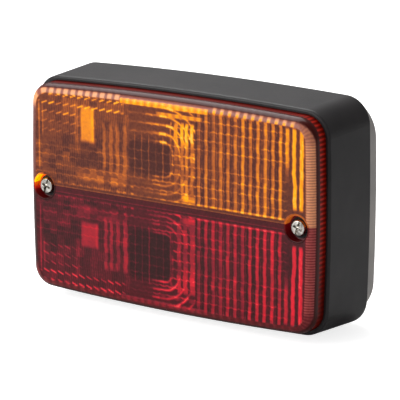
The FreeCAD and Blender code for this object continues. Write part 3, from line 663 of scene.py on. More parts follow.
# The same red seen edgeways through ribs, its colour painted with shade nearly black between them,
# painted light on their crests and a stronger painted glow.
SKIRT_ACRYLIC = OpticAcrylic(
    "ribbed_red_acrylic",
    window=((0.0, "#360502"), (0.4, "#5A0A02"), (0.7, "#861408"), (1.0, "#B8261A")),
    border=((0.0, "#360502"), (1.0, "#B8261A")),
    transmission=0.0,
    coat=0.0,
    painted_glow=0.16,
)
# The pocket's upper wall, with painted light and a painted glow for light from inside the amber
# moulding: brown painted shade at its foot, yellow painted light at its lip.
POCKET_AMBER = OpticAcrylic(
    "amber_pocket_wall",
    window=((0.0, "#4A1C10"), (0.4, "#C0601C"), (0.7, "#FFB000"), (1.0, "#FFD800")),
    border=((0.0, "#4A1C10"), (1.0, "#FFD800")),
    painted_glow=0.55,
)
# The pocket's red cup, with painted light, shade and glow: black-red painted shade, orange painted
# light from the amber above.
POCKET_RED = OpticAcrylic(
    "red_pocket_wall",
    window=((0.0, "#1E0203"), (0.4, "#6A0A0E"), (0.7, "#D02414"), (1.0, "#FF6A10")),
    border=((0.0, "#1E0203"), (1.0, "#FF6A10")),
    painted_glow=0.4,
)

FINISHES = {
    # Injection-moulded ABS from a spark-eroded tool: a satin black with a grain just fine enough to feel.
    "black_abs": Moulding("spark_textured_black_abs", "#1E1C1D", "#272425", 0.42, 0.45, specular=0.26),
    # The same plastic from a coarser tool, greyer.
    "grey_abs": Moulding("plain_grey_abs", "#9A9694", "#A6A19D", 0.56, 0.7, specular=0.3),
    # Moulded nitrile rubber: dull, slightly bloomed.
    "rubber": Moulding("moulded_nitrile_rubber", "#1B1B1B", "#262524", 0.78, 0.6, lift_mm=0.03),
    # Closed-cell foam strip: matt, with cells about half a millimetre across.
    "foam": Moulding("closed_cell_foam", "#2A2A2B", "#3A3A3A", 0.95, 0.5, lift_mm=0.12),
    # Zinc-plated mild steel: pale bluish grey, satin.
    "zinc_steel": Metal("zinc_plated_steel", "#C3C6C8", "#9C9FA2", 0.34),
    # Bright nickel-plated screw: near mirror, with tumbling marks.
    "bright_screw": Metal("bright_nickel_plate", "#CFCBC4", "#8E8A84", 0.24, scratch_mm=0.3, patch_mm=2.0),
    # Drawn music wire, oiled.
    "spring_steel": Metal("oiled_spring_wire", "#8F9092", "#6A6A6C", 0.3, scratch_mm=0.2),
    # Turned brass.
    "brass": Metal("turned_brass", "#D8B25C", "#B08C46", 0.26),
    # Brass strip with a thin tin coat.
    "tinned_brass": Metal("tinned_brass_strip", "#CFCABB", "#B3A98E", 0.32),
    # Lead-tin solder, dulled by handling.
    "solder": Metal("dull_solder", "#B9BBBD", "#8A8C8E", 0.42, patch_mm=1.2),
    # Paper-based phenolic board: warm brown with faint fibre.
    "insulator": Moulding("phenolic_paper_board", "#3A241A", "#54352A", 0.5, 0.35, mottle_mm=2.5),
    # Vacuum-metallised plastic: a soft mirror.
    "silvered_plastic": Metal("vacuum_silvered_plastic", "#E6E7E8", "#D2D4D6", 0.16, patch_mm=22.0),
    # Tungsten wire after burning in.
    "filament_wire": Metal("burnt_in_tungsten", "#6E6E72", "#4E4E52", 0.4, scratch_mm=0.2),
}
NODE_FINISHES = {
    "housing": "black_abs",
    "rear_base": "grey_abs",
    "mounting_gasket": "foam",
    "mounting_studs": "zinc_steel",
    "base_screws": "zinc_steel",
    "cable_grommet": "rubber",
    "lens_seal": "foam",
    "screw_inserts": "brass",
    "reflector_tray": "silvered_plastic",
    "chamber_divider": "silvered_plastic",
    "tray_screws": "zinc_steel",
    "bracket_rivets": "tinned_brass",
    "terminal_block": "insulator",
    "terminal_clamps": "brass",
    "terminal_screws": "zinc_steel",
    "earth_strip": "tinned_brass",
    "turn_strip": "tinned_brass",
    "tail_strip": "tinned_brass",
    "stop_strip": "tinned_brass",
    "screw_washer_left": "rubber",
    "screw_washer_right": "rubber",
}
SOCKET_FINISHES = {
    "socket_bracket": "zinc_steel",
    "socket_sleeve": "tinned_brass",
    "socket_cup": "insulator",
    "contact_plunger": "insulator",
    "contact_pins": "brass",
    "bulb_cap": "brass",
    "bulb_contacts": "solder",
    "bulb_glass": "bulb_glass",
    "bulb_stem": "bulb_glass",
}


# ---- the lens ----
@dataclass(frozen=True)
class BowedOutline:
    """A rectangle with bowed sides and round corners, centred on the lamp's axis.

    The long sides are arcs that rise by side_bow at their middle, the short sides arcs that rise by
    end_bow, and each corner is an arc that touches both.
    """

    width: float
    height: float
    corner: float
    side_bow: float
    end_bow: float

    @property
    def side_radius(self) -> float:
        """Radius of the long sides, from their chord and rise."""
        chord = self.width / 2.0 - self.end_bow
        return (chord ** 2 + self.side_bow ** 2) / (2.0 * self.side_bow)

    @property
    def end_radius(self) -> float:
        """Radius of the short sides, from their chord and rise."""
        chord = self.height / 2.0 - self.side_bow
        return (chord ** 2 + self.end_bow ** 2) / (2.0 * self.end_bow)

    @property
    def side_centre(self) -> float:
        """Height of the centre of the top side's arc."""
        return self.height / 2.0 - self.side_radius

    @property
    def end_centre(self) -> float:
        """Place along X of the centre of the right side's arc."""
        return self.width / 2.0 - self.end_radius

    @property
    def corner_centre(self) -> tuple:
        """Centre of the upper right corner: where two circles set in by the corner's radius cross."""
        near = self.side_radius - self.corner
        far = self.end_radius - self.corner
        gap_x = self.end_centre
        gap_z = -self.side_centre
        gap = math.hypot(gap_x, gap_z)
        along = (near ** 2 - far ** 2 + gap ** 2) / (2.0 * gap)
        aside = math.sqrt(near ** 2 - along ** 2)
        unit_x = gap_x / gap
        unit_z = gap_z / gap
        crossings = [
            (
                along * unit_x + turn * aside * unit_z,
                self.side_centre + along * unit_z - turn * aside * unit_x,
            )
            for turn in (-1.0, 1.0)
        ]
        return max(crossings)

    def project(self, x: Array, z: Array, inset: float = 0.0) -> tuple:
        """The nearest point of the outline, set in by a distance, and the outward direction there.

        Each point belongs to the long side, the short side or the corner, by the side of the lines
        from the corner's centre to where its arc ends. The answer lies on that arc, along the line
        from the arc's centre through the point.

        Args:
            x: places along X.
            z: heights.
            inset: distance inwards from the outline.

        Returns:
            Four arrays: x, z, and the two parts of the outward direction.
        """
        corner_x, corner_z = self.corner_centre
        side = np.array([corner_x, corner_z - self.side_centre])
        side /= np.linalg.norm(side)
        end = np.array([corner_x - self.end_centre, corner_z])
        end /= np.linalg.norm(end)
        sign_x = np.where(x < 0.0, -1.0, 1.0)
        sign_z = np.where(z < 0.0, -1.0, 1.0)
        to_x = np.abs(x) - corner_x
        to_z = np.abs(z) - corner_z
        on_side = side[0] * to_z - side[1] * to_x > 0.0
        on_end = end[0] * to_z - end[1] * to_x < 0.0
        centre_x = np.where(on_side, 0.0, np.where(on_end, self.end_centre, corner_x))
        centre_z = np.where(on_side, self.side_centre, np.where(on_end, 0.0, corner_z))
        radius = np.where(on_side, self.side_radius, np.where(on_end, self.end_radius, self.corner))
        out_x = np.abs(x) - centre_x
        out_z = np.abs(z) - centre_z
        length = np.hypot(out_x, out_z)
        out_x = out_x / length
        out_z = out_z / length
        return (
            sign_x * (centre_x + out_x * (radius - inset)),
            sign_z * (centre_z + out_z * (radius - inset)),
            sign_x * out_x,
            sign_z * out_z,
        )

    def loop(self, count: int) -> tuple:
        """Evenly spaced points round the outline.

        Points of a larger rectangle are drawn in to the outline, and the lengths between them are
        added up and divided evenly.

        Args:
            count: number of points.

        Returns:
            x, z, the outward direction's two parts, and the length along the outline.
        """
        turn = np.linspace(0.0, 2.0 * np.pi, 6 * count)
        x, z, _, _ = self.project(self.width * np.cos(turn), self.height * np.sin(turn))
        length = np.concatenate([[0.0], np.cumsum(np.hypot(np.diff(x), np.diff(z)))])
        even = np.linspace(0.0, length[-1], count, endpoint=False)
        x, z, out_x, out_z = self.project(np.interp(even, length, x), np.interp(even, length, z))
        return x, z, out_x, out_z, even


@dataclass(frozen=True)
class LensSizes:
    """Sizes of the lens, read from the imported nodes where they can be, the rest as moulded."""

    corner: float = 9.7
    side_bow: float = 1.8
    end_bow: float = 1.1
    border: float = 4.2
    wall: float = 2.2
    face: float = 2.4
    inner_round: float = 2.0
    pocket_radius: float = 5.5
    pocket_wall: float = 1.3
    pocket_floor: float = 2.2
    pocket_hole: float = 2.3
    width: float = field(default_factory=lambda: node_span("lens_red", 0))
    height: float = field(default_factory=lambda: -2.0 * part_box("lens_red")[0].z / MM)
    front: float = field(default_factory=lambda: -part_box("lens_amber")[0].y / MM)
    rear: float = field(default_factory=lambda: -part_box("lens_red")[1].y / MM)
    amber_rear: float = field(default_factory=lambda: -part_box("lens_amber")[1].y / MM)
    colour_line: float = field(default_factory=lambda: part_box("lens_amber")[0].z / MM)
    pocket_seat: float = field(default_factory=lambda: -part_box("screw_washer_left")[1].y / MM)
    screw_x: float = field(default_factory=lambda: node_centre("screw_washer_right").x / MM)

    @property
    def skirt_front(self) -> float:
        """Depth at which the rounded border starts."""
        return self.front - self.border

    @property
    def outline(self) -> BowedOutline:
        """The lens seen square on."""
        return BowedOutline(self.width, self.height, self.corner, self.side_bow, self.end_bow)

    def end_depth(self, x: Array, z: Array) -> Array:
        """Depth of the lens front near its short ends: a quarter round over the border.

        Args:
            x: places along X.
            z: heights, small against the lens height.

        Returns:
            The depths.
        """
        outline = self.outline
        inset = outline.end_radius - np.hypot(np.abs(x) - outline.end_centre, z)
        share = np.clip(self.border - inset, 0.0, self.border)
        return self.skirt_front + np.sqrt(self.border ** 2 - share ** 2)


def node_span(node: str, axis: int) -> float:
    """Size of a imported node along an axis, in millimetres."""
    low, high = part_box(node)
    return (high[axis] - low[axis]) / MM


def node_centre(node: str) -> Vector:
    """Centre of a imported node's box, in metres."""
    low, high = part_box(node)
    return (low + high) / 2.0


@dataclass(frozen=True)
class Patch:
    """A soft-edged upright rectangle in a window."""

    left: float
    right: float
    low: float
    high: float
    soft_x: float
    soft_z: float

    def cover(self, x: Array, z: Array) -> Array:
        """Share of each place that the patch covers, a plateau along X times one along Z."""
        across = plateau(x, self.left, self.right, self.soft_x)
        return across * plateau(z, self.low, self.high, self.soft_z)


@dataclass(frozen=True)
class WindowOptics:
    """The painted light and shade of one window's optics, 0 to 1, as a function of place.

    The back of the window is a field of small pillows, one to each flute pitch and row pitch. On the
    right they are painted as upright flutes of light, round the bulb as a painted dark spot with bright
    columns beside it, and on the left they break up into slanted dashes. Heights are measured from the
    lamp's middle, away from it in both windows.
    """

    seed: float
    level: float = 1.0
    flute_start: float = 17.3
    flute_pitch: float = 3.76
    row_start: float = 2.9
    row_pitch: float = 4.1
    bulb_x: float = -8.4
    bulb_z: float = 20.6
    spot_half_x: float = 10.6
    spot_half_z: float = 6.4
    spot_round: float = 3.2
    # the socket's bright bar, a painted highlight
    bar_x: tuple = (-45.7, -38.4)
    bar_z: tuple = (23.4, 38.8)
    bar_level: float = 0.66
    columns: tuple = (
        (2.6, 0.5, 0.56), (5.4, 1.1, 0.76), (8.6, 0.9, 0.92), (10.9, 0.9, 1.0), (13.7, 0.9, 1.0),
    )
    column_low: float = 0.55
    smears: tuple = ((-33.0, 1.0, 0.42), (-29.3, 1.2, 0.42), (-25.8, 1.2, 0.44), (-21.8, 1.3, 0.42))
    top_band: float = 0.95
    first_band: Patch = Patch(-24.5, 22.0, 42.8, 45.4, 1.0, 0.4)
    second_band: Patch = Patch(-5.0, 19.0, 39.4, 41.4, 1.5, 0.4)
    second_share: float = 0.86
    tooth_start: float = 25.0
    tooth_pitch: float = 3.9
    tooth_half: float = 0.9
    teeth: Patch = Patch(23.0, 66.0, 42.9, 45.6, 1.0, 0.6)
    tooth_share: float = 0.72
    foot: Patch = Patch(8.0, 20.0, 3.2, 6.6, 2.5, 1.0)
    # a painted pool of light low in the left part
    painted_floor_light: Patch = Patch(-49.0, -20.0, 4.5, 12.5, 1.5, 2.5)
    # a painted highlight beside the socket's edge
    socket_edge: Patch = Patch(-49.4, -47.2, 22.0, 40.0, 0.6, 2.0)
    prism_start: float = -66.0
    prism_pitch: float = 4.0
    prism_top: float = 42.7
    prism_rise: float = 1.5
    middle_start: float = -19.6
    flute_edge: float = 15.4
    end_start: float = 59.5
    divider_top: float = 2.55
    edge_lines: tuple = ((-69.0, 0.5, 8.5, 0.34), (-67.0, 0.6, 24.0, 0.2))
    edge_top: float = 38.0

    def pillows(self, x: Array, z: Array) -> tuple:
        """Place in the field of pillows.

        Args:
            x: places along X.
            z: heights.

        Returns:
            Column and row of the pillow, and the place in it along X and Z from -0.5 to 0.5.
        """
        column = np.round((x - self.flute_start) / self.flute_pitch)
        row = np.round((z - self.row_start) / self.row_pitch)
        across = (x - self.flute_start) / self.flute_pitch - column
        upward = (z - self.row_start) / self.row_pitch - row
        return column, row, across, upward

    def wander(self, z: Array, reach: float) -> Array:
        """A slow sideways drift of upright lines, the sum of two waves of unlike length."""
        return reach * (0.6 * np.sin(z / 1.7 + self.seed) + 0.4 * np.sin(z / 0.63 + 2.0 * self.seed))

    def flutes(self, x: Array, z: Array) -> Array:
        """Painted light of upright flutes: bright over half of each pitch, uneven from pillow to pillow.

        The crest leans to one side of the pitch and wanders a little. Its brightness is the sum of a
        share per column, a share per pillow, and a rise towards the right.

        Args:
            x: places along X.
            z: heights.

        Returns:
            The light they gather.
        """
        column, row, across, _ = self.pillows(x + self.wander(z, 0.14), z)
        jitter = scatter(column * 7.0 + row, self.seed)
        own = scatter(column, 2.0 + self.seed)
        crest = plateau(across + 0.05 * (jitter - 0.5), -0.24, 0.16, 0.1)
        level = 0.44 + 0.15 * own + 0.2 * (jitter - 0.5) + 0.1 * smoothstep(x, 28.0, 58.0)
        level = level - 0.1 * (1.0 - smoothstep(x, 17.0, 26.0)) * smoothstep(z, 8.0, 14.0)
        thread = np.exp(-((across - 0.14) / 0.06) ** 2) * 0.16
        valley = 0.12 + 0.12 * scatter(column + 0.5, 4.0 + self.seed)
        second = 0.2 * np.exp(-((across - 0.4) / 0.06) ** 2) * scatter(column * 3.0 + row, 9.0)
        return valley + (level - valley) * crest + thread + second

    def bright_end(self, x: Array, z: Array) -> Array:
        """The last columns at the right end, with a painted glow where they face the open side.

        Args:
            x: places along X.
            z: heights.

        Returns:
            The light they gather.
        """
        drift = self.wander(z, 0.16)
        columns = 0.74 * plateau(x + drift, 60.8, 62.8, 0.4) * smoothstep(z, 10.0, 34.0)
        lean = 1.0 - smoothstep(z, 18.0, 24.0)
        columns = np.maximum(columns, 0.9 * plateau(x + drift - 0.5 * lean, 64.2, 66.2, 0.4))
        columns = np.maximum(columns, 0.92 * plateau(x - drift, 67.9, 69.9, 0.4))
        _, row, _, _ = self.pillows(x, z)
        uneven = 0.86 + 0.2 * scatter(row * 3.0 + np.round(x / 2.6), self.seed)
        return columns * uneven * plateau(z, 7.6, 42.5, 1.2)

    def round_bulb(self, x: Array, z: Array) -> tuple:
        """Distance outside the bulb's painted dark spot, a rounded rectangle, in flute pitches.

        Args:
            x: places along X.
            z: heights.

        Returns:
            The distance, and the share of it that points upwards.
        """
        aside = np.abs(x - self.bulb_x) - (self.spot_half_x - self.spot_round)
        above = np.abs(z - self.bulb_z) - (self.spot_half_z - self.spot_round)
        outer = np.hypot(np.maximum(aside, 0.0), np.maximum(above, 0.0))
        inner = np.minimum(np.maximum(aside, above), 0.0)
        distance = (outer + inner - self.spot_round) / self.flute_pitch
        upright = np.maximum(above, 0.0) / np.maximum(outer, 1e-6)
        return distance, upright

    def bulb_window(self, x: Array, z: Array) -> Array:
        """The painted light and shade round the bulb: a dark spot, threads across it, bright columns beside
        it.

        Rings of light follow the spot's outline at each pitch on its right and above it. Straight
        columns take over where the rings turn upright.

        Args:
            x: places along X.
            z: heights.

        Returns:
            The light it gathers.
        """
        column, row, across, upward = self.pillows(x + self.wander(z, 0.2), z)
        jitter = scatter(column * 5.0 + row * 3.0, self.seed)
        distance, upright = self.round_bulb(x, z)
        right = smoothstep(x, self.bulb_x - 6.0, self.bulb_x + 13.0)
        ring = np.exp(-(from_nearest(distance, 0.35, 1.0) / 0.13) ** 2)
        low = 0.1 + 0.13 * smoothstep(distance, 0.0, 1.0)
        broken = 0.35 + 1.0 * jitter
        side = smoothstep(x, self.bulb_x - 7.0, self.bulb_x + 7.0)
        below = 1.0 - 0.45 * smoothstep(self.bulb_z - z, 0.0, 4.0)
        light = low + ring * (0.26 + 0.62 * right) * broken * (0.4 + 0.6 * upright) * smoothstep(
            distance, -0.4, 0.1) * (0.25 + 0.75 * side) * below
        row_line = np.exp(-((upward + 0.4 * across * across) / 0.085) ** 2)
        light = light + row_line * (0.12 + 0.3 * right * smoothstep(distance, 0.0, 0.5)) * (0.5 + jitter)
        thread = np.exp(-(across / 0.07) ** 2) * (0.1 + 0.3 * scatter(column, 6.0 + self.seed))
        light = light + thread * (1.0 - smoothstep(distance, 0.6, 1.2))
        for centre, half, level in self.columns:
            bar = plateau(x + self.wander(z, 0.28), centre - half, centre + half, 0.35)
            height = plateau(z, 5.5, 38.0, 1.5) * (0.74 + 0.4 * jitter)
            fade = self.column_low + (1.0 - self.column_low) * smoothstep(z, 25.0, 31.0)
            light = np.maximum(light, bar * height * fade * level)
        return np.maximum(light, self.foot.cover(x, z) * (0.55 + 0.4 * jitter))

    def left_part(self, x: Array, z: Array) -> Array:
        """The left part's painted light and shade: dull ground, the bright bar of the socket, soft upright
        smears, a pool of light low down and a darker block under the bar.

        Args:
            x: places along X.
            z: heights.

        Returns:
            The light it gathers.
        """
        column, row, _, _ = self.pillows(x + self.wander(z, 0.25), z)
        jitter = scatter(column * 3.0 + row * 11.0, self.seed)
        ground = 0.15 + 0.16 * jitter + 0.06 * smoothstep(z, 20.0, 40.0)
        rib = 0.05 * np.cos(2.0 * np.pi * (x + 0.2 * np.sin(z)) / 1.25) * smoothstep(x, -66.0, -60.0)
        ground = ground + rib
        for centre, half, level in self.smears:
            smear = plateau(x + self.wander(z, 0.3), centre - half, centre + half, 0.45)
            height = plateau(z, 8.0, 34.0, 2.5) * (0.8 + 0.35 * jitter)
            ground = np.maximum(ground, smear * height * level)
        # painted pool of light low in the left part
        ground = np.maximum(ground, self.painted_floor_light.cover(x, z) * (0.26 + 0.22 * jitter))
        # painted shade: a darker block under the socket's bar
        block = plateau(x, -46.0, -36.5, 0.8) * plateau(z, 13.0, self.bar_z[0], 1.2)
        ground = ground + (0.14 - ground) * block * 0.6
        # painted highlight: the socket's bright bar with a brighter edge
        edge = np.exp(-((x - self.bar_x[1] + 0.8) / 0.7) ** 2)
        bar = plateau(x + self.wander(z, 0.12), *self.bar_x, 0.6) * plateau(z, *self.bar_z, 1.4)
        ground = ground + (self.bar_level + 0.12 * edge + 0.06 * jitter - ground) * bar
        # painted highlight beside the socket's edge
        return ground + 0.12 * self.socket_edge.cover(x, z)

    def prisms(self, x: Array, z: Array) -> Array:
        """Painted light of rows of short prisms that slant up to the right, fading away from the top edge.

        In each pitch a dash climbs from left to right about the middle of its row.

        Args:
            x: places along X.
            z: heights.

        Returns:
            The light they add.
        """
        along = from_nearest(x, self.prism_start, self.prism_pitch) / self.prism_pitch
        row = from_nearest(z - self.prism_rise * along, self.prism_top, self.row_pitch)
        dash = np.clip(1.0 - np.abs(row) / 0.5, 0.0, 1.0) * plateau(along, -0.38, 0.38, 0.1)
        number = np.round((z - self.prism_top) / self.row_pitch) * 5.0 + np.round(
            (x - self.prism_start) / self.prism_pitch
        )
        strength = (0.3 + 0.6 * smoothstep(z, 30.0, 42.0)) * (0.5 + 0.9 * scatter(number, self.seed))
        high = 1.0 - smoothstep(x, -25.0, -21.0)
        low = (1.0 - smoothstep(x, -49.0, -45.0)) * smoothstep(z, 24.0, 26.0)
        reach = np.where(z > 36.5, high, low)
        return dash * strength * reach * smoothstep(x, -70.5, -67.0)

    def lines(self, x: Array, z: Array) -> Array:
        """Painted light in thin broken lines between rows of pillows, dots low on the left, and edge lines.

        Each line sags inside every pillow, along a parabola of the place across it.

        Args:
            x: places along X.
            z: heights.

        Returns:
            The light they add.
        """
        column, row, across, upward = self.pillows(x, z)
        jitter = scatter(column * 13.0 + row * 5.0, self.seed)
        sag = 0.12 * (across * across * 4.0 - 0.4)
        thread = np.exp(-((upward + sag) / 0.07) ** 2) * (0.4 + 0.9 * jitter)
        right = smoothstep(x, 14.0, 16.0) * (1.0 - smoothstep(x, 61.0, 63.0))
        ends = np.maximum(smoothstep(z, 25.5, 27.5), 1.0 - smoothstep(z, 19.0, 20.0))
        low = 1.0 - smoothstep(z, 19.5, 20.5)
        left = (1.0 - smoothstep(x, -21.0, -18.0)) * low
        light = thread * (0.26 * right * ends + 0.17 * left)
        foot = np.exp(-((z - 3.2) / 0.35) ** 2)
        light = light + 0.42 * foot * smoothstep(x, 15.0, 18.0) * (1.0 - smoothstep(x, 60.0, 62.0)) * (
            0.6 + 0.6 * jitter)
        dots = plateau(from_nearest(x, -58.0, 4.0), -0.7, 0.7, 0.3) * plateau(x, -60.0, -15.0, 1.0)
        two = np.exp(-((z - 3.3) / 0.4) ** 2) + 0.6 * np.exp(-((z - 6.4) / 0.4) ** 2)
        light = light + dots * two * (0.16 + 0.3 * smoothstep(x, -30.0, -17.0))
        for centre, half, low, level in self.edge_lines:
            light = light + level * bead(x, centre, half) * plateau(z, low, self.edge_top, 1.5)
        return light

    def top_bands(self, x: Array, z: Array) -> Array:
        """The painted glowing bands under the top edge.

        Args:
            x: places along X.
            z: heights.

        Returns:
            The light they gather.
        """
        _, _, across, _ = self.pillows(x, z)
        uneven = 0.86 + 0.14 * np.cos(2.0 * np.pi * across)
        first = self.first_band.cover(x, z) * self.top_band
        second = self.second_band.cover(x, z) * self.top_band * self.second_share
        from_tooth = from_nearest(x, self.tooth_start, self.tooth_pitch)
        tooth = plateau(from_tooth, -self.tooth_half, self.tooth_half, 0.4)
        third = tooth * self.teeth.cover(x, z) * self.top_band * self.tooth_share
        return np.maximum(np.maximum(first, second), third) * uneven

    def light(self, x: Array, z: Array) -> Array:
        """All the painted light and shade together: the three parts side by side, then what lies over them.

        Args:
            x: places along X.
            z: heights, away from the lamp's middle.

        Returns:
            The light gathered, 0 to 1.
        """
        middle = smoothstep(x, self.middle_start - 1.0, self.middle_start + 1.0)
        right = smoothstep(x, self.flute_edge - 0.4, self.flute_edge + 0.4)
        light = self.left_part(x, z) * (1.0 - middle) + self.bulb_window(x, z) * middle * (1.0 - right)
        light = light + self.flutes(x, z) * right
        edge = smoothstep(x, self.end_start - 0.7, self.end_start + 0.7)
        light = light * (1.0 - edge) + np.maximum(self.bright_end(x, z), 0.2) * edge
        light = light + self.prisms(x, z) + self.lines(x, z)
        light = np.maximum(light, self.top_bands(x, z))
        # painted light and shade of the divider strip and its groove
        strip = 1.0 - smoothstep(z, self.divider_top - 0.25, self.divider_top + 0.25)
        groove = 0.16 * np.exp(-((z - 1.35) / 0.3) ** 2) - 0.08 * np.exp(-((z - 1.9) / 0.25) ** 2)
        light = light * (1.0 - strip) + (0.22 + groove) * strip
        return np.clip(light * self.level, 0.0, 1.0)


@dataclass
class Lens:
    """The two-colour lens: windows with optics, rounded border, ribbed skirt and screw pockets."""

    sizes: LensSizes = field(default_factory=LensSizes)
    column_step: float = 0.376
    row_step: float = 0.42
    round_steps: int = 10
    blend_reach: float = 11.0
    relief: float = 0.2
    inner_relief: float = 0.4
    band_height: float = 44.0
    hole_radius: float = 6.15
    lip_spread: tuple = (0.0, 0.0, 0.12, 0.4, 0.85)
    lip_drops: tuple = (1.6, 0.4, 0.1, 0.0, 0.06, 0.9)
    skirt_rows: tuple = (41.0, 40.0, 39.0)
    rib_end: float = 37.0
    rib_pitch: float = 2.1
    rib_depth: float = 0.07
    border_rib_pitch: float = 1.15
    band_turn: tuple = (0.32, 0.5)
    band_up: tuple = (0.8, 0.95)
    band_cut: tuple = (0.3, 0.55)

    def optics(self, tint: Tint) -> WindowOptics:
        """The optics of a window.

        Args:
            tint: which window.

        Returns:
            Its optics.
        """
        if tint is Tint.AMBER:
            return WindowOptics(seed=1.0)
        return WindowOptics(
            seed=2.0,
            bulb_z=23.0,
            spot_half_z=9.5,
            bar_x=(-46.0, -36.6),
            bar_z=(13.2, 24.5),
            bar_level=0.5,
            columns=((3.0, 0.5, 0.46), (6.9, 1.1, 0.62), (10.2, 1.2, 0.66), (14.0, 1.4, 0.74)),
            column_low=0.8,
            smears=((-32.5, 1.0, 0.5), (-29.5, 1.0, 0.5), (-25.8, 1.2, 0.46), (-21.8, 1.3, 0.56)),
            top_band=0.5,
        )

    def window_grid(self, tint: Tint) -> tuple:
        """Columns and rows of a window before they are bent to the outline.

        Columns fall on the flutes' crests and rows on the row lines. The last of each lies on the
        edge of the flat face.

        Args:
            tint: which window.

        Returns:
            Places along X, and heights away from the lamp's middle.
        """
        sizes = self.sizes
        half = sizes.width / 2.0 - sizes.border
        top = sizes.height / 2.0 - sizes.border
        optics = self.optics(tint)
        first = math.ceil((-half - optics.flute_start) / self.column_step)
        last = math.floor((half - optics.flute_start) / self.column_step)
        columns = optics.flute_start + self.column_step * np.arange(first, last + 1)
        columns[0] = -half
        columns[-1] = half
        start = sizes.colour_line if tint is Tint.AMBER else -sizes.colour_line
        rows = start + self.row_step * np.arange(int((top - start) / self.row_step) + 1)
        rows[-1] = top
        return columns, rows

    def window_shell(self, tint: Tint) -> Shell:
        """A window and its part of the border, closed at the back.

        The flat grid is bent to the outline: each edge's displacement to the outline fades inwards
        along a smooth step, and the corner's is counted once. The border continues from the grid's
        edge along the outline's outward direction on a quarter round. The inner surface repeats the
        grid with a smaller round. Both surfaces follow the painted light: crests stand out. The
        painted glowing band under the top edge runs on over the border's first steps, and painted shade
        darkens the border's foot into the skirt's red, less at the left end.

        Args:
            tint: which window.

        Returns:
            The closed shell.
        """
        sizes = self.sizes
        outline = sizes.outline
        columns, rows = self.window_grid(tint)
        half = columns[-1]
        top = rows[-1]
        x, z = np.meshgrid(columns, rows, indexing="ij")
        top_x, top_z, _, _ = outline.project(columns, np.full_like(columns, top), sizes.border)
        end_x, end_z, _, _ = outline.project(np.full_like(rows, half), rows, sizes.border)
        fade_top = smoothstep(rows, top - self.blend_reach, top)[None, :]
        fade_end = smoothstep(np.abs(columns), half - self.blend_reach, half)[:, None]
        sign = np.sign(columns)[:, None]
        shift_top = np.stack([top_x - columns, top_z - top])[:, :, None]
        shift_end = np.stack([sign * (end_x - half)[None, :], np.broadcast_to(end_z - rows, x.shape)])
        shift_corner = np.stack(
            [sign * (end_x[-1] - half), np.full_like(sign, end_z[-1] - top)]
        )
        shift = fade_top * shift_top + fade_end * shift_end - fade_top * fade_end * shift_corner
        x = x + shift[0]
        z = z + shift[1]
        # The optics' painted light and shade, 0 to 1; the relief follows it too.
        light = self.optics(tint).light(x, z)
        count_x, count_z = x.shape
        number = np.arange(count_x * count_z).reshape(count_x, count_z)
        edge = np.concatenate([number[0, :], number[1:, -1], number[-1, -2::-1]])
        on_edge = np.zeros(count_x * count_z, bool)
        on_edge[edge] = True
        flat_x = x.ravel()
        flat_z = z.ravel()
        crest = np.where(on_edge, 1.0, light.ravel())
        face_outer = np.stack([flat_x, sizes.front - self.relief * (1.0 - crest), flat_z], axis=1)
        inner = sizes.front - sizes.face
        face_inner = np.stack([flat_x, inner - self.inner_relief * (crest * ~on_edge), flat_z], axis=1)

        _, _, out_x, out_z = outline.project(flat_x[edge], flat_z[edge], sizes.border)
        along = np.concatenate(
            [[0.0], np.cumsum(np.hypot(np.diff(flat_x[edge]), np.diff(flat_z[edge])))]
        )
        angle = np.linspace(0.0, np.pi / 2.0, self.round_steps + 1)[1:, None]
        tooth = self.border_teeth(tint, flat_x[edge], flat_z[edge], along)
        dent = 0.1 * (1.0 - tooth) * np.sin(2.0 * angle)
        reach = np.concatenate([sizes.border * np.sin(angle) - dent, [np.full(len(edge), sizes.border)]])
        round_depth = sizes.skirt_front + (sizes.border - dent) * np.cos(angle)
        depth = np.concatenate([round_depth, [np.full(len(edge), sizes.amber_rear)]])
        border_outer = self.border_points(face_outer[edge], out_x, out_z, reach, depth)
        inner_reach = np.append(sizes.inner_round * np.sin(angle), sizes.inner_round)[:, None]
        inner_depth = np.append(
            inner - sizes.inner_round * (1.0 - np.cos(angle)), sizes.amber_rear
        )[:, None]
        border_inner = self.border_points(face_inner[edge], out_x, out_z, inner_reach, inner_depth)

        border_number = count_x * count_z + np.arange(border_outer.shape[0] * len(edge))
        stacked = np.concatenate([edge, border_number]).reshape(-1, len(edge))
        border_quads = stacked.ravel()[grid_faces(*stacked.shape)]
        quads = np.concatenate([grid_faces(count_x, count_z), border_quads[:, ::-1]])
        outer = np.concatenate([face_outer, border_outer.reshape(-1, 3)])
        inner_points = np.concatenate([face_inner, border_inner.reshape(-1, 3)])
        # Painted light and shade of the border: painted shade darkens it as it turns towards the skirt, less
        # at the left end, and the painted glowing band runs on over its first steps.
        up = np.abs(out_z)[None, :]
        turn = np.append(angle, np.pi / 2.0)[:, None]
        seen = 0.75 * smoothstep(out_x, -0.8, -0.2)[None, :] + 0.25
        dark = smoothstep(turn, 1.12 - 0.55 * up, 1.3 - 0.47 * up) * seen
        band = self.optics(tint).top_bands(flat_x[edge], np.full(len(edge), self.band_height))
        band = band[None, :] * (1.0 - smoothstep(turn, *self.band_turn)) * smoothstep(up, *self.band_up)
        border_light = np.maximum(tooth[None, :] * (1.0 - dark), band)
        border_rim = (1.0 + dark) * (1.0 - smoothstep(band, *self.band_cut))
        painted_light = np.concatenate([light.ravel(), border_light.ravel()])
        rim = np.concatenate([np.zeros(count_x * count_z), border_rim.ravel()])
        quads = self.cut_pockets(outer, inner_points, quads)
        if tint is Tint.RED:
            outer[:, 2] *= -1.0
            inner_points[:, 2] *= -1.0
        return walled(outer, inner_points, quads, painted_light, rim, 0)

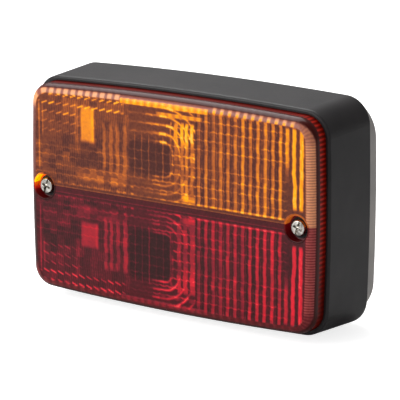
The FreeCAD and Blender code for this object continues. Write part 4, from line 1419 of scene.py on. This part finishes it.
    @staticmethod
    def border_points(start: Array, out_x: Array, out_z: Array, reach: Array, depth: Array) -> Array:
        """Rows of points that leave the face's edge along the outward direction.

        Args:
            start: points of the face's edge.
            out_x: outward direction along X.
            out_z: outward direction along Z.
            reach: distance outwards of each row.
            depth: depth of each row.

        Returns:
            Points by row and place along the edge.
        """
        return np.stack(
            [
                start[None, :, 0] + reach * out_x[None, :],
                np.broadcast_to(depth, (depth.shape[0], len(start))),
                start[None, :, 2] + reach * out_z[None, :],
            ],
            axis=-1,
        )

    def border_teeth(self, tint: Tint, x: Array, z: Array, along: Array) -> Array:
        """Painted light in the rounded border: prism teeth along the top and fine ribs at the right.

        Args:
            tint: which window.
            x: places of the face's edge along X.
            z: heights of the face's edge.
            along: length along the edge.

        Returns:
            The light gathered along the edge.
        """
        top = smoothstep(z, 34.0, 39.0)
        optics = self.optics(tint)
        from_prism = from_nearest(x, optics.prism_start, optics.prism_pitch)
        left_teeth = 0.55 * plateau(from_prism, -1.2, 1.2, 0.5) * (1.0 - smoothstep(x, -24.5, -23.0))
        from_tooth = from_nearest(x, optics.tooth_start, optics.tooth_pitch)
        right_teeth = 0.5 * plateau(from_tooth, -optics.tooth_half, optics.tooth_half, 0.5)
        right_teeth = right_teeth * plateau(x, optics.teeth.left, optics.teeth.right, optics.teeth.soft_x)
        ribs = 0.24 * np.cos(2.0 * np.pi * along / self.border_rib_pitch)
        # painted light: brighter towards the right end, with the ribs there
        at_right = smoothstep(x, 66.0, 70.0) * (1.0 - 0.6 * top)
        base = 0.36 - 0.2 * (1.0 - smoothstep(x, -70.5, -67.0)) * (1.0 - top) + 0.3 * at_right
        if tint is Tint.RED:
            base = base - 0.12
            top = 0.25 * top
        return np.clip(base + top * (left_teeth + right_teeth) + at_right * ribs, 0.0, 1.0)

    def cut_pockets(self, outer: Array, inner: Array, quads: Array) -> Array:
        """Opens the round screw pockets: inner quads go, and the points left inside move to the circle.

        Args:
            outer: outer points, changed in place.
            inner: inner points, changed in place.
            quads: faces.

        Returns:
            The faces that stay.
        """
        for side in Side:
            centre = side.value * self.sizes.screw_x
            distance = np.hypot(outer[:, 0] - centre, outer[:, 2])
            inside = distance < self.hole_radius
            quads = quads[~inside[quads].all(axis=1)]
            for points in (outer, inner):
                away = np.hypot(points[:, 0] - centre, points[:, 2])
                scale = np.where(inside, self.hole_radius / np.maximum(away, 1e-6), 1.0)
                points[:, 0] = centre + (points[:, 0] - centre) * scale
                points[:, 2] = points[:, 2] * scale
        return quads

    def skirt_shell(self) -> Shell:
        """The skirt all round, with ribs along the depth on its outside.

        A rib's profile is a cosine of the length along the outline, and it fades out where the skirt
        enters the housing.

        Returns:
            The closed shell.
        """
        sizes = self.sizes
        turn = sizes.outline.loop(400)[4]
        ribs = round((turn[-1] + turn[1]) / self.rib_pitch)
        x, z, out_x, out_z, _ = sizes.outline.loop(6 * ribs)
        wave = 0.5 - 0.5 * np.cos(2.0 * np.pi * np.arange(6 * ribs) / 6.0)
        seat = -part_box("housing")[0].y / MM
        top = sizes.amber_rear
        depth = np.array([top, top - 0.4, *self.skirt_rows, seat, self.rib_end, sizes.rear])
        show = np.array([0.2, 1.0, 1.0, 1.0, 1.0, 1.0, 0.0, 0.0])[:, None]
        inset = self.rib_depth * wave[None, :] * show
        outer, inner = (
            np.stack(np.broadcast_arrays(x - away * out_x, depth[:, None], z - away * out_z), axis=-1)
            for away in (inset, sizes.wall)
        )
        # Painted light and shade in the skirt's colour: brighter on the rib crests and towards the right,
        # darker towards the bottom and where the ribs fade out.
        right = smoothstep(x, 50.0, 74.0)
        painted_light = (0.4 + (0.1 + 0.6 * right) * (1.0 - wave) - 0.14 * right)[None, :] * (0.55 + 0.45 * show)
        painted_light = painted_light * (1.0 - 0.5 * smoothstep(-z, 0.0, 40.0))[None, :]
        quads = grid_faces(len(depth), len(x), wrap_columns=True)
        return walled(
            outer.reshape(-1, 3), inner.reshape(-1, 3), quads, painted_light.ravel(), np.zeros(painted_light.size), 1
        )

    def pocket_shells(self, tint: Tint, side: Side) -> list:
        """A screw pocket's wall: the red cup, or the amber part of its rim.

        The wall is a profile turned about the screw's axis, whose lip follows the lens front. The
        red cup's lip drops to the amber moulding's rear face above the colour line.

        Args:
            tint: which part.
            side: which pocket.

        Returns:
            Its closed shells.
        """
        sizes = self.sizes
        centre = side.value * sizes.screw_x
        outer_radius = sizes.pocket_radius + sizes.pocket_wall
        low = math.asin(sizes.colour_line / sizes.pocket_radius)
        lip_radii = np.append(sizes.pocket_radius + np.array(self.lip_spread), outer_radius)
        lip_drops = np.array(self.lip_drops)
        if tint is Tint.AMBER:
            angle = np.linspace(low, np.pi - low, 61)[:, None]
            radii = np.concatenate([[sizes.pocket_radius], lip_radii, [outer_radius]])
            drops = np.concatenate([[np.nan], lip_drops, [np.nan]])
        else:
            angle = np.linspace(0.0, 2.0 * np.pi, 120, endpoint=False)[:, None]
            floor = sizes.pocket_seat
            back = floor - sizes.pocket_floor
            hole = sizes.pocket_hole
            inner_radii = [hole, hole, 3.6, 5.1, 5.4, sizes.pocket_radius]
            radii = np.concatenate([inner_radii, lip_radii, [outer_radius, 4.0]])
            fixed = np.array([back, floor, floor, floor, floor + 0.12, floor + 0.4])
        x = centre + radii * np.cos(angle)
        z = radii * np.sin(angle)
        top = sizes.end_depth(x, z) + 0.03
        if tint is Tint.AMBER:
            depth = np.where(np.isnan(drops), sizes.amber_rear, np.minimum(top, sizes.front) - drops)
        else:
            above_line = np.sin(angle) * sizes.pocket_radius > sizes.colour_line
            lip = np.where(above_line, sizes.amber_rear, np.minimum(top, sizes.front))
            lip_end = len(fixed) + len(lip_drops)
            depth = np.concatenate(
                [
                    np.broadcast_to(fixed, (len(angle), len(fixed))),
                    lip[:, len(fixed):lip_end] - lip_drops,
                    np.broadcast_to([back, back], (len(angle), 2)),
                ],
                axis=1,
            )
        points = np.stack([x, depth, z], axis=-1)
        # Painted light and shade in the pocket walls: the left pocket is painted bright on its left wall,
        # which faces right, the right pocket evenly dim; lighter higher up and darker past the pocket's edge.
        bright = smoothstep(-np.cos(angle), -0.1, 0.6) if side is Side.LEFT else 0.32 * np.ones_like(angle)
        height = np.broadcast_to(0.12 + 0.88 * smoothstep(np.sin(angle), -0.75, 0.2), x.shape)
        painted_light = 0.06 + 0.94 * np.broadcast_to(bright, x.shape) * height
        painted_light = painted_light * (1.0 - 0.5 * smoothstep(radii, 5.55, 5.9))[None, :]
        count = painted_light.size
        closed = tint is Tint.RED
        faces = [grid_faces(len(angle), len(radii), wrap_rows=closed, wrap_columns=True)]
        if not closed:
            ring = np.arange(len(radii))[None, :]
            faces += [ring[:, ::-1], ring + count - len(radii)]
        finish = 2 if closed else 1
        return [Shell(points.reshape(-1, 3), faces, painted_light.ravel(), np.zeros(count), finish).outward()]

    def build(self) -> None:
        """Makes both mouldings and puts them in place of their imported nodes."""
        amber = [self.window_shell(Tint.AMBER)]
        red = [self.window_shell(Tint.RED), self.skirt_shell()]
        for side in Side:
            amber += self.pocket_shells(Tint.AMBER, side)
            red += self.pocket_shells(Tint.RED, side)
        pieces = {
            "lens_amber": make_piece("amber_moulding", amber, [AMBER_ACRYLIC.build(), POCKET_AMBER.build()]),
            "lens_red": make_piece(
                "red_moulding", red, [RED_ACRYLIC.build(), SKIRT_ACRYLIC.build(), POCKET_RED.build()]
            ),
        }
        for node, piece in pieces.items():
            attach(piece, "lens")
            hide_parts(node)


# ---- fasteners ----
@dataclass
class LensScrew:
    """A pan-head lens screw with a cross and slot recess and a rolled thread."""

    side: Side
    head_height: float = 2.4
    head_radius: float = 3.5
    thread_radius: float = 1.98
    thread_depth: float = 0.32
    thread_pitch: float = 0.7
    cross_width: float = 0.95
    cross_reach: float = 2.2
    slot_width: float = 0.85
    recess_depth: float = 1.3
    recess_turn: float = 0.35
    recess_wall: float = 0.1
    slot_share: float = 0.55
    dome_edge: float = 3.1
    dome_fall: float = 0.42
    dome_rings: int = 44
    rim_radii: tuple = (3.3, 3.44, 3.5, 3.5, 3.46, 1.6, 0.02)
    rim_drops: tuple = (0.62, 0.95, 1.4, 2.2, 2.4, 2.4, 2.4)

    @property
    def node(self) -> str:
        """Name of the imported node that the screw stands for."""
        return "lens_screw_" + self.side.name.lower()

    def head(self, front: float, centre: tuple) -> Shell:
        """The head: a dome with its recess, the rim, and the flat underside.

        The top is a function of radius and angle: a shallow dome, less a cross of two bars and a
        slot, each a plateau across its width, tilted a little at its walls.

        Args:
            front: depth of the top of the head.
            centre: the axis, as x and z.

        Returns:
            The closed shell.
        """
        steps = 144
        angle = np.linspace(0.0, 2.0 * np.pi, steps, endpoint=False)[:, None]
        top = self.dome_rings
        radius = np.concatenate([np.linspace(self.rim_radii[-1], self.dome_edge, top), self.rim_radii])
        dome = self.dome_fall * (radius[:top] / self.head_radius) ** 2
        drop = np.concatenate([dome, self.rim_drops])
        across = radius * np.cos(angle + self.recess_turn)
        upward = radius * np.sin(angle + self.recess_turn)
        wall = self.recess_wall
        bar_a = plateau(across, -self.cross_width / 2, self.cross_width / 2, wall) * plateau(
            upward, -self.cross_reach, self.cross_reach, wall
        )
        bar_b = plateau(upward, -self.cross_width / 2, self.cross_width / 2, wall) * plateau(
            across, -self.cross_reach, self.cross_reach, wall
        )
        slot = self.slot_share * plateau(across, -self.slot_width / 2, self.slot_width / 2, wall)
        recess = np.maximum(np.maximum(bar_a, bar_b), slot) * self.recess_depth
        recess[:, top:] = 0.0
        inside = 1.0 - smoothstep(radius, self.dome_edge - 0.2, self.dome_edge)
        depth = front - drop[None, :] - recess * inside[None, :]
        points = round_points(centre, radius, angle, depth)
        faces = grid_faces(steps, len(radius), wrap_rows=True, wrap_columns=True)
        empty = np.zeros(depth.size)
        return Shell(points.reshape(-1, 3), [faces], empty, empty).outward()

    def shank(self, seat: float, tip: float, centre: tuple) -> Shell:
        """The threaded shank.

        The radius is the thread's less a triangle wave of depth over pitch less angle, and both ends
        run out to a smaller radius.

        Args:
            seat: depth under the head.
            tip: depth of the tip.
            centre: the axis, as x and z.

        Returns:
            The closed shell.
        """
        steps = 24
        depth = np.linspace(tip, seat + 0.3, int((seat - tip) / self.thread_pitch * 8))[None, :]
        angle = np.linspace(0.0, 2.0 * np.pi, steps, endpoint=False)[:, None]
        phase = np.mod(depth / self.thread_pitch - angle / (2.0 * np.pi), 1.0)
        groove = 1.0 - 2.0 * np.abs(phase - 0.5)
        run_out = smoothstep(depth, tip, tip + 1.2)
        radius = self.thread_radius - self.thread_depth * groove - 0.5 * (1.0 - run_out)
        points = round_points(centre, radius, angle, depth).reshape(-1, 3)
        columns = radius.shape[1]
        sides = grid_faces(steps, columns, wrap_rows=True)
        tip_face = (np.arange(steps) * columns)[None, :]
        head_face = tip_face[:, ::-1] + columns - 1
        empty = np.zeros(len(points))
        return Shell(points, [sides, tip_face, head_face], empty, empty).outward()

    def build(self) -> None:
        """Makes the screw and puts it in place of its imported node."""
        low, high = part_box(self.node)
        middle = node_centre(self.node)
        centre = (middle.x / MM, middle.z / MM)
        front = -low.y / MM
        shells = [
            self.head(front, centre),
            self.shank(front - self.head_height, -high.y / MM, centre),
        ]
        piece = make_piece("screw_" + self.side.name.lower(), shells, [FINISHES["bright_screw"].build()])
        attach(piece, "screw_" + self.side.name.lower())
        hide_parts(self.node)


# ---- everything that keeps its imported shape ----
def dress_packed_nodes() -> None:
    """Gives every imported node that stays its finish."""
    wanted = dict(NODE_FINISHES)
    for half in Half:
        for stem, finish in SOCKET_FINISHES.items():
            wanted[f"{stem}_{half.value}"] = finish
        wanted[f"socket_spring_{half.value}"] = "spring_steel"
        wanted[f"bulb_filaments_{half.value}"] = "filament_wire"
    made = {name: finish.build() for name, finish in FINISHES.items()}
    made["bulb_glass"] = LampGlass().build()
    for node, finish in wanted.items():
        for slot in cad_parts[node].material_slots:
            slot.material = made[finish]
        LOG.info("%s: %s", node, finish)


# ---- studio ----
@dataclass(frozen=True)
class Studio:
    """Pale floor, white surroundings, soft lamps, and the camera."""

    azimuth: float = 34.704
    elevation: float = 13.853
    distance: float = 1.044
    focal: float = 216.99
    aim_right: float = 11.0
    aim_up: float = 1.65
    ambient: float = 0.3

    def shown(self, tree: bpy.types.NodeTree) -> bpy.types.NodeSocket:
        """1 for the rays that should see the white surroundings: from the camera or through glass.

        Args:
            tree: the node tree.

        Returns:
            The output that holds it.
        """
        path = add_node(tree, "ShaderNodeLightPath")
        return add_node(
            tree,
            "ShaderNodeMath",
            {"operation": "MAXIMUM"},
            {0: path.outputs["Is Camera Ray"], 1: path.outputs["Is Transmission Ray"]},
        ).outputs[0]

    def surroundings(self) -> None:
        """The world: plain ambient light, seen as white."""
        world = bpy.data.worlds.new("white_surroundings")
        world.use_nodes = True
        tree = world.node_tree
        tree.nodes.clear()
        strength = add_node(
            tree, "ShaderNodeMapRange", {"To Min": self.ambient, "To Max": 1.0}, {"Value": self.shown(tree)}
        )
        light = add_node(
            tree, "ShaderNodeBackground", {"Color": linear("#FFFFFF")}, {"Strength": strength.outputs[0]}
        )
        add_node(tree, "ShaderNodeOutputWorld", links={"Surface": light.outputs[0]})
        bpy.context.scene.world = world

    def floor(self) -> None:
        """A pale floor under the lamp that keeps its soft shadow."""
        level = CAD_BOX[0][2] - 0.0002
        reach = 3.0
        mesh = bpy.data.meshes.new("floor")
        corners = [(x * reach, y * reach, level) for x, y in ((-1, -1), (1, -1), (1, 1), (-1, 1))]
        mesh.from_pydata(corners, [], [(0, 1, 2, 3)])
        floor = bpy.data.objects.new("floor", mesh)
        bpy.context.scene.collection.objects.link(floor)
        material, tree = new_material("pale_floor")
        fill = add_node(
            tree, "ShaderNodeMath", {"operation": "MULTIPLY", 1: 0.8}, {0: self.shown(tree)}
        )
        shader = add_node(
            tree,
            "ShaderNodeBsdfPrincipled",
            {
                "Base Color": linear("#DADADA"),
                "Roughness": 0.9,
                "Specular IOR Level": 0.1,
                "Emission Color": linear("#FFFFFF"),
            },
            {"Emission Strength": fill.outputs[0]},
        )
        end_with(tree, shader)
        mesh.materials.append(material)

    def lamp(self, name: str, place: tuple, size: float, power: float) -> None:
        """A square soft lamp that faces the middle of the lens.

        Args:
            name: name of the lamp.
            place: its place in metres.
            size: its side in metres.
            power: its power in watts.
        """
        light = bpy.data.lights.new(name, "AREA")
        light.shape = "SQUARE"
        light.size = size
        light.energy = power
        lamp = bpy.data.objects.new(name, light)
        bpy.context.scene.collection.objects.link(lamp)
        towards = Vector((0.0, -0.03, 0.0)) - Vector(place)
        lamp.matrix_world = Matrix.Translation(place) @ towards.to_track_quat("-Z", "Y").to_matrix().to_4x4()

    def camera(self) -> None:
        """The camera, turned by azimuth and elevation about a point beside the housing's front."""
        turn = math.radians(self.azimuth)
        lift = math.radians(self.elevation)
        forward = Vector((-math.sin(turn) * math.cos(lift), math.cos(turn) * math.cos(lift), -math.sin(lift)))
        right = Vector((math.cos(turn), math.sin(turn), 0.0))
        up = right.cross(forward)
        rim = Vector((0.0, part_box("housing")[0].y, 0.0))
        aim = rim + right * self.aim_right * MM + up * self.aim_up * MM
        data = bpy.data.cameras.new("camera")
        data.lens = self.focal
        data.sensor_width = 36.0
        data.clip_end = 20.0
        camera = bpy.data.objects.new("camera", data)
        bpy.context.scene.collection.objects.link(camera)
        facing = Matrix((right, up, -forward)).transposed()
        camera.matrix_world = Matrix.Translation(aim - forward * self.distance) @ facing.to_4x4()
        bpy.context.scene.camera = camera

    def build(self) -> None:
        """Sets everything up."""
        self.surroundings()
        self.floor()
        self.lamp("overhead_softbox", (-0.45, 0.2, 0.95), 1.0, 14.5)
        self.lamp("front_softbox", (-0.75, -1.25, 0.6), 0.9, 16.5)
        self.camera()
        bpy.context.scene.view_settings.view_transform = "Standard"


def main() -> None:
    """Builds the studio, the new pieces and the finishes, in order."""
    logging.basicConfig(level=logging.INFO, format="%(name)s: %(message)s")
    Studio().build()
    Lens().build()
    for side in Side:
        LensScrew(side).build()
    dress_packed_nodes()


if __name__ == "__main__":
    main()
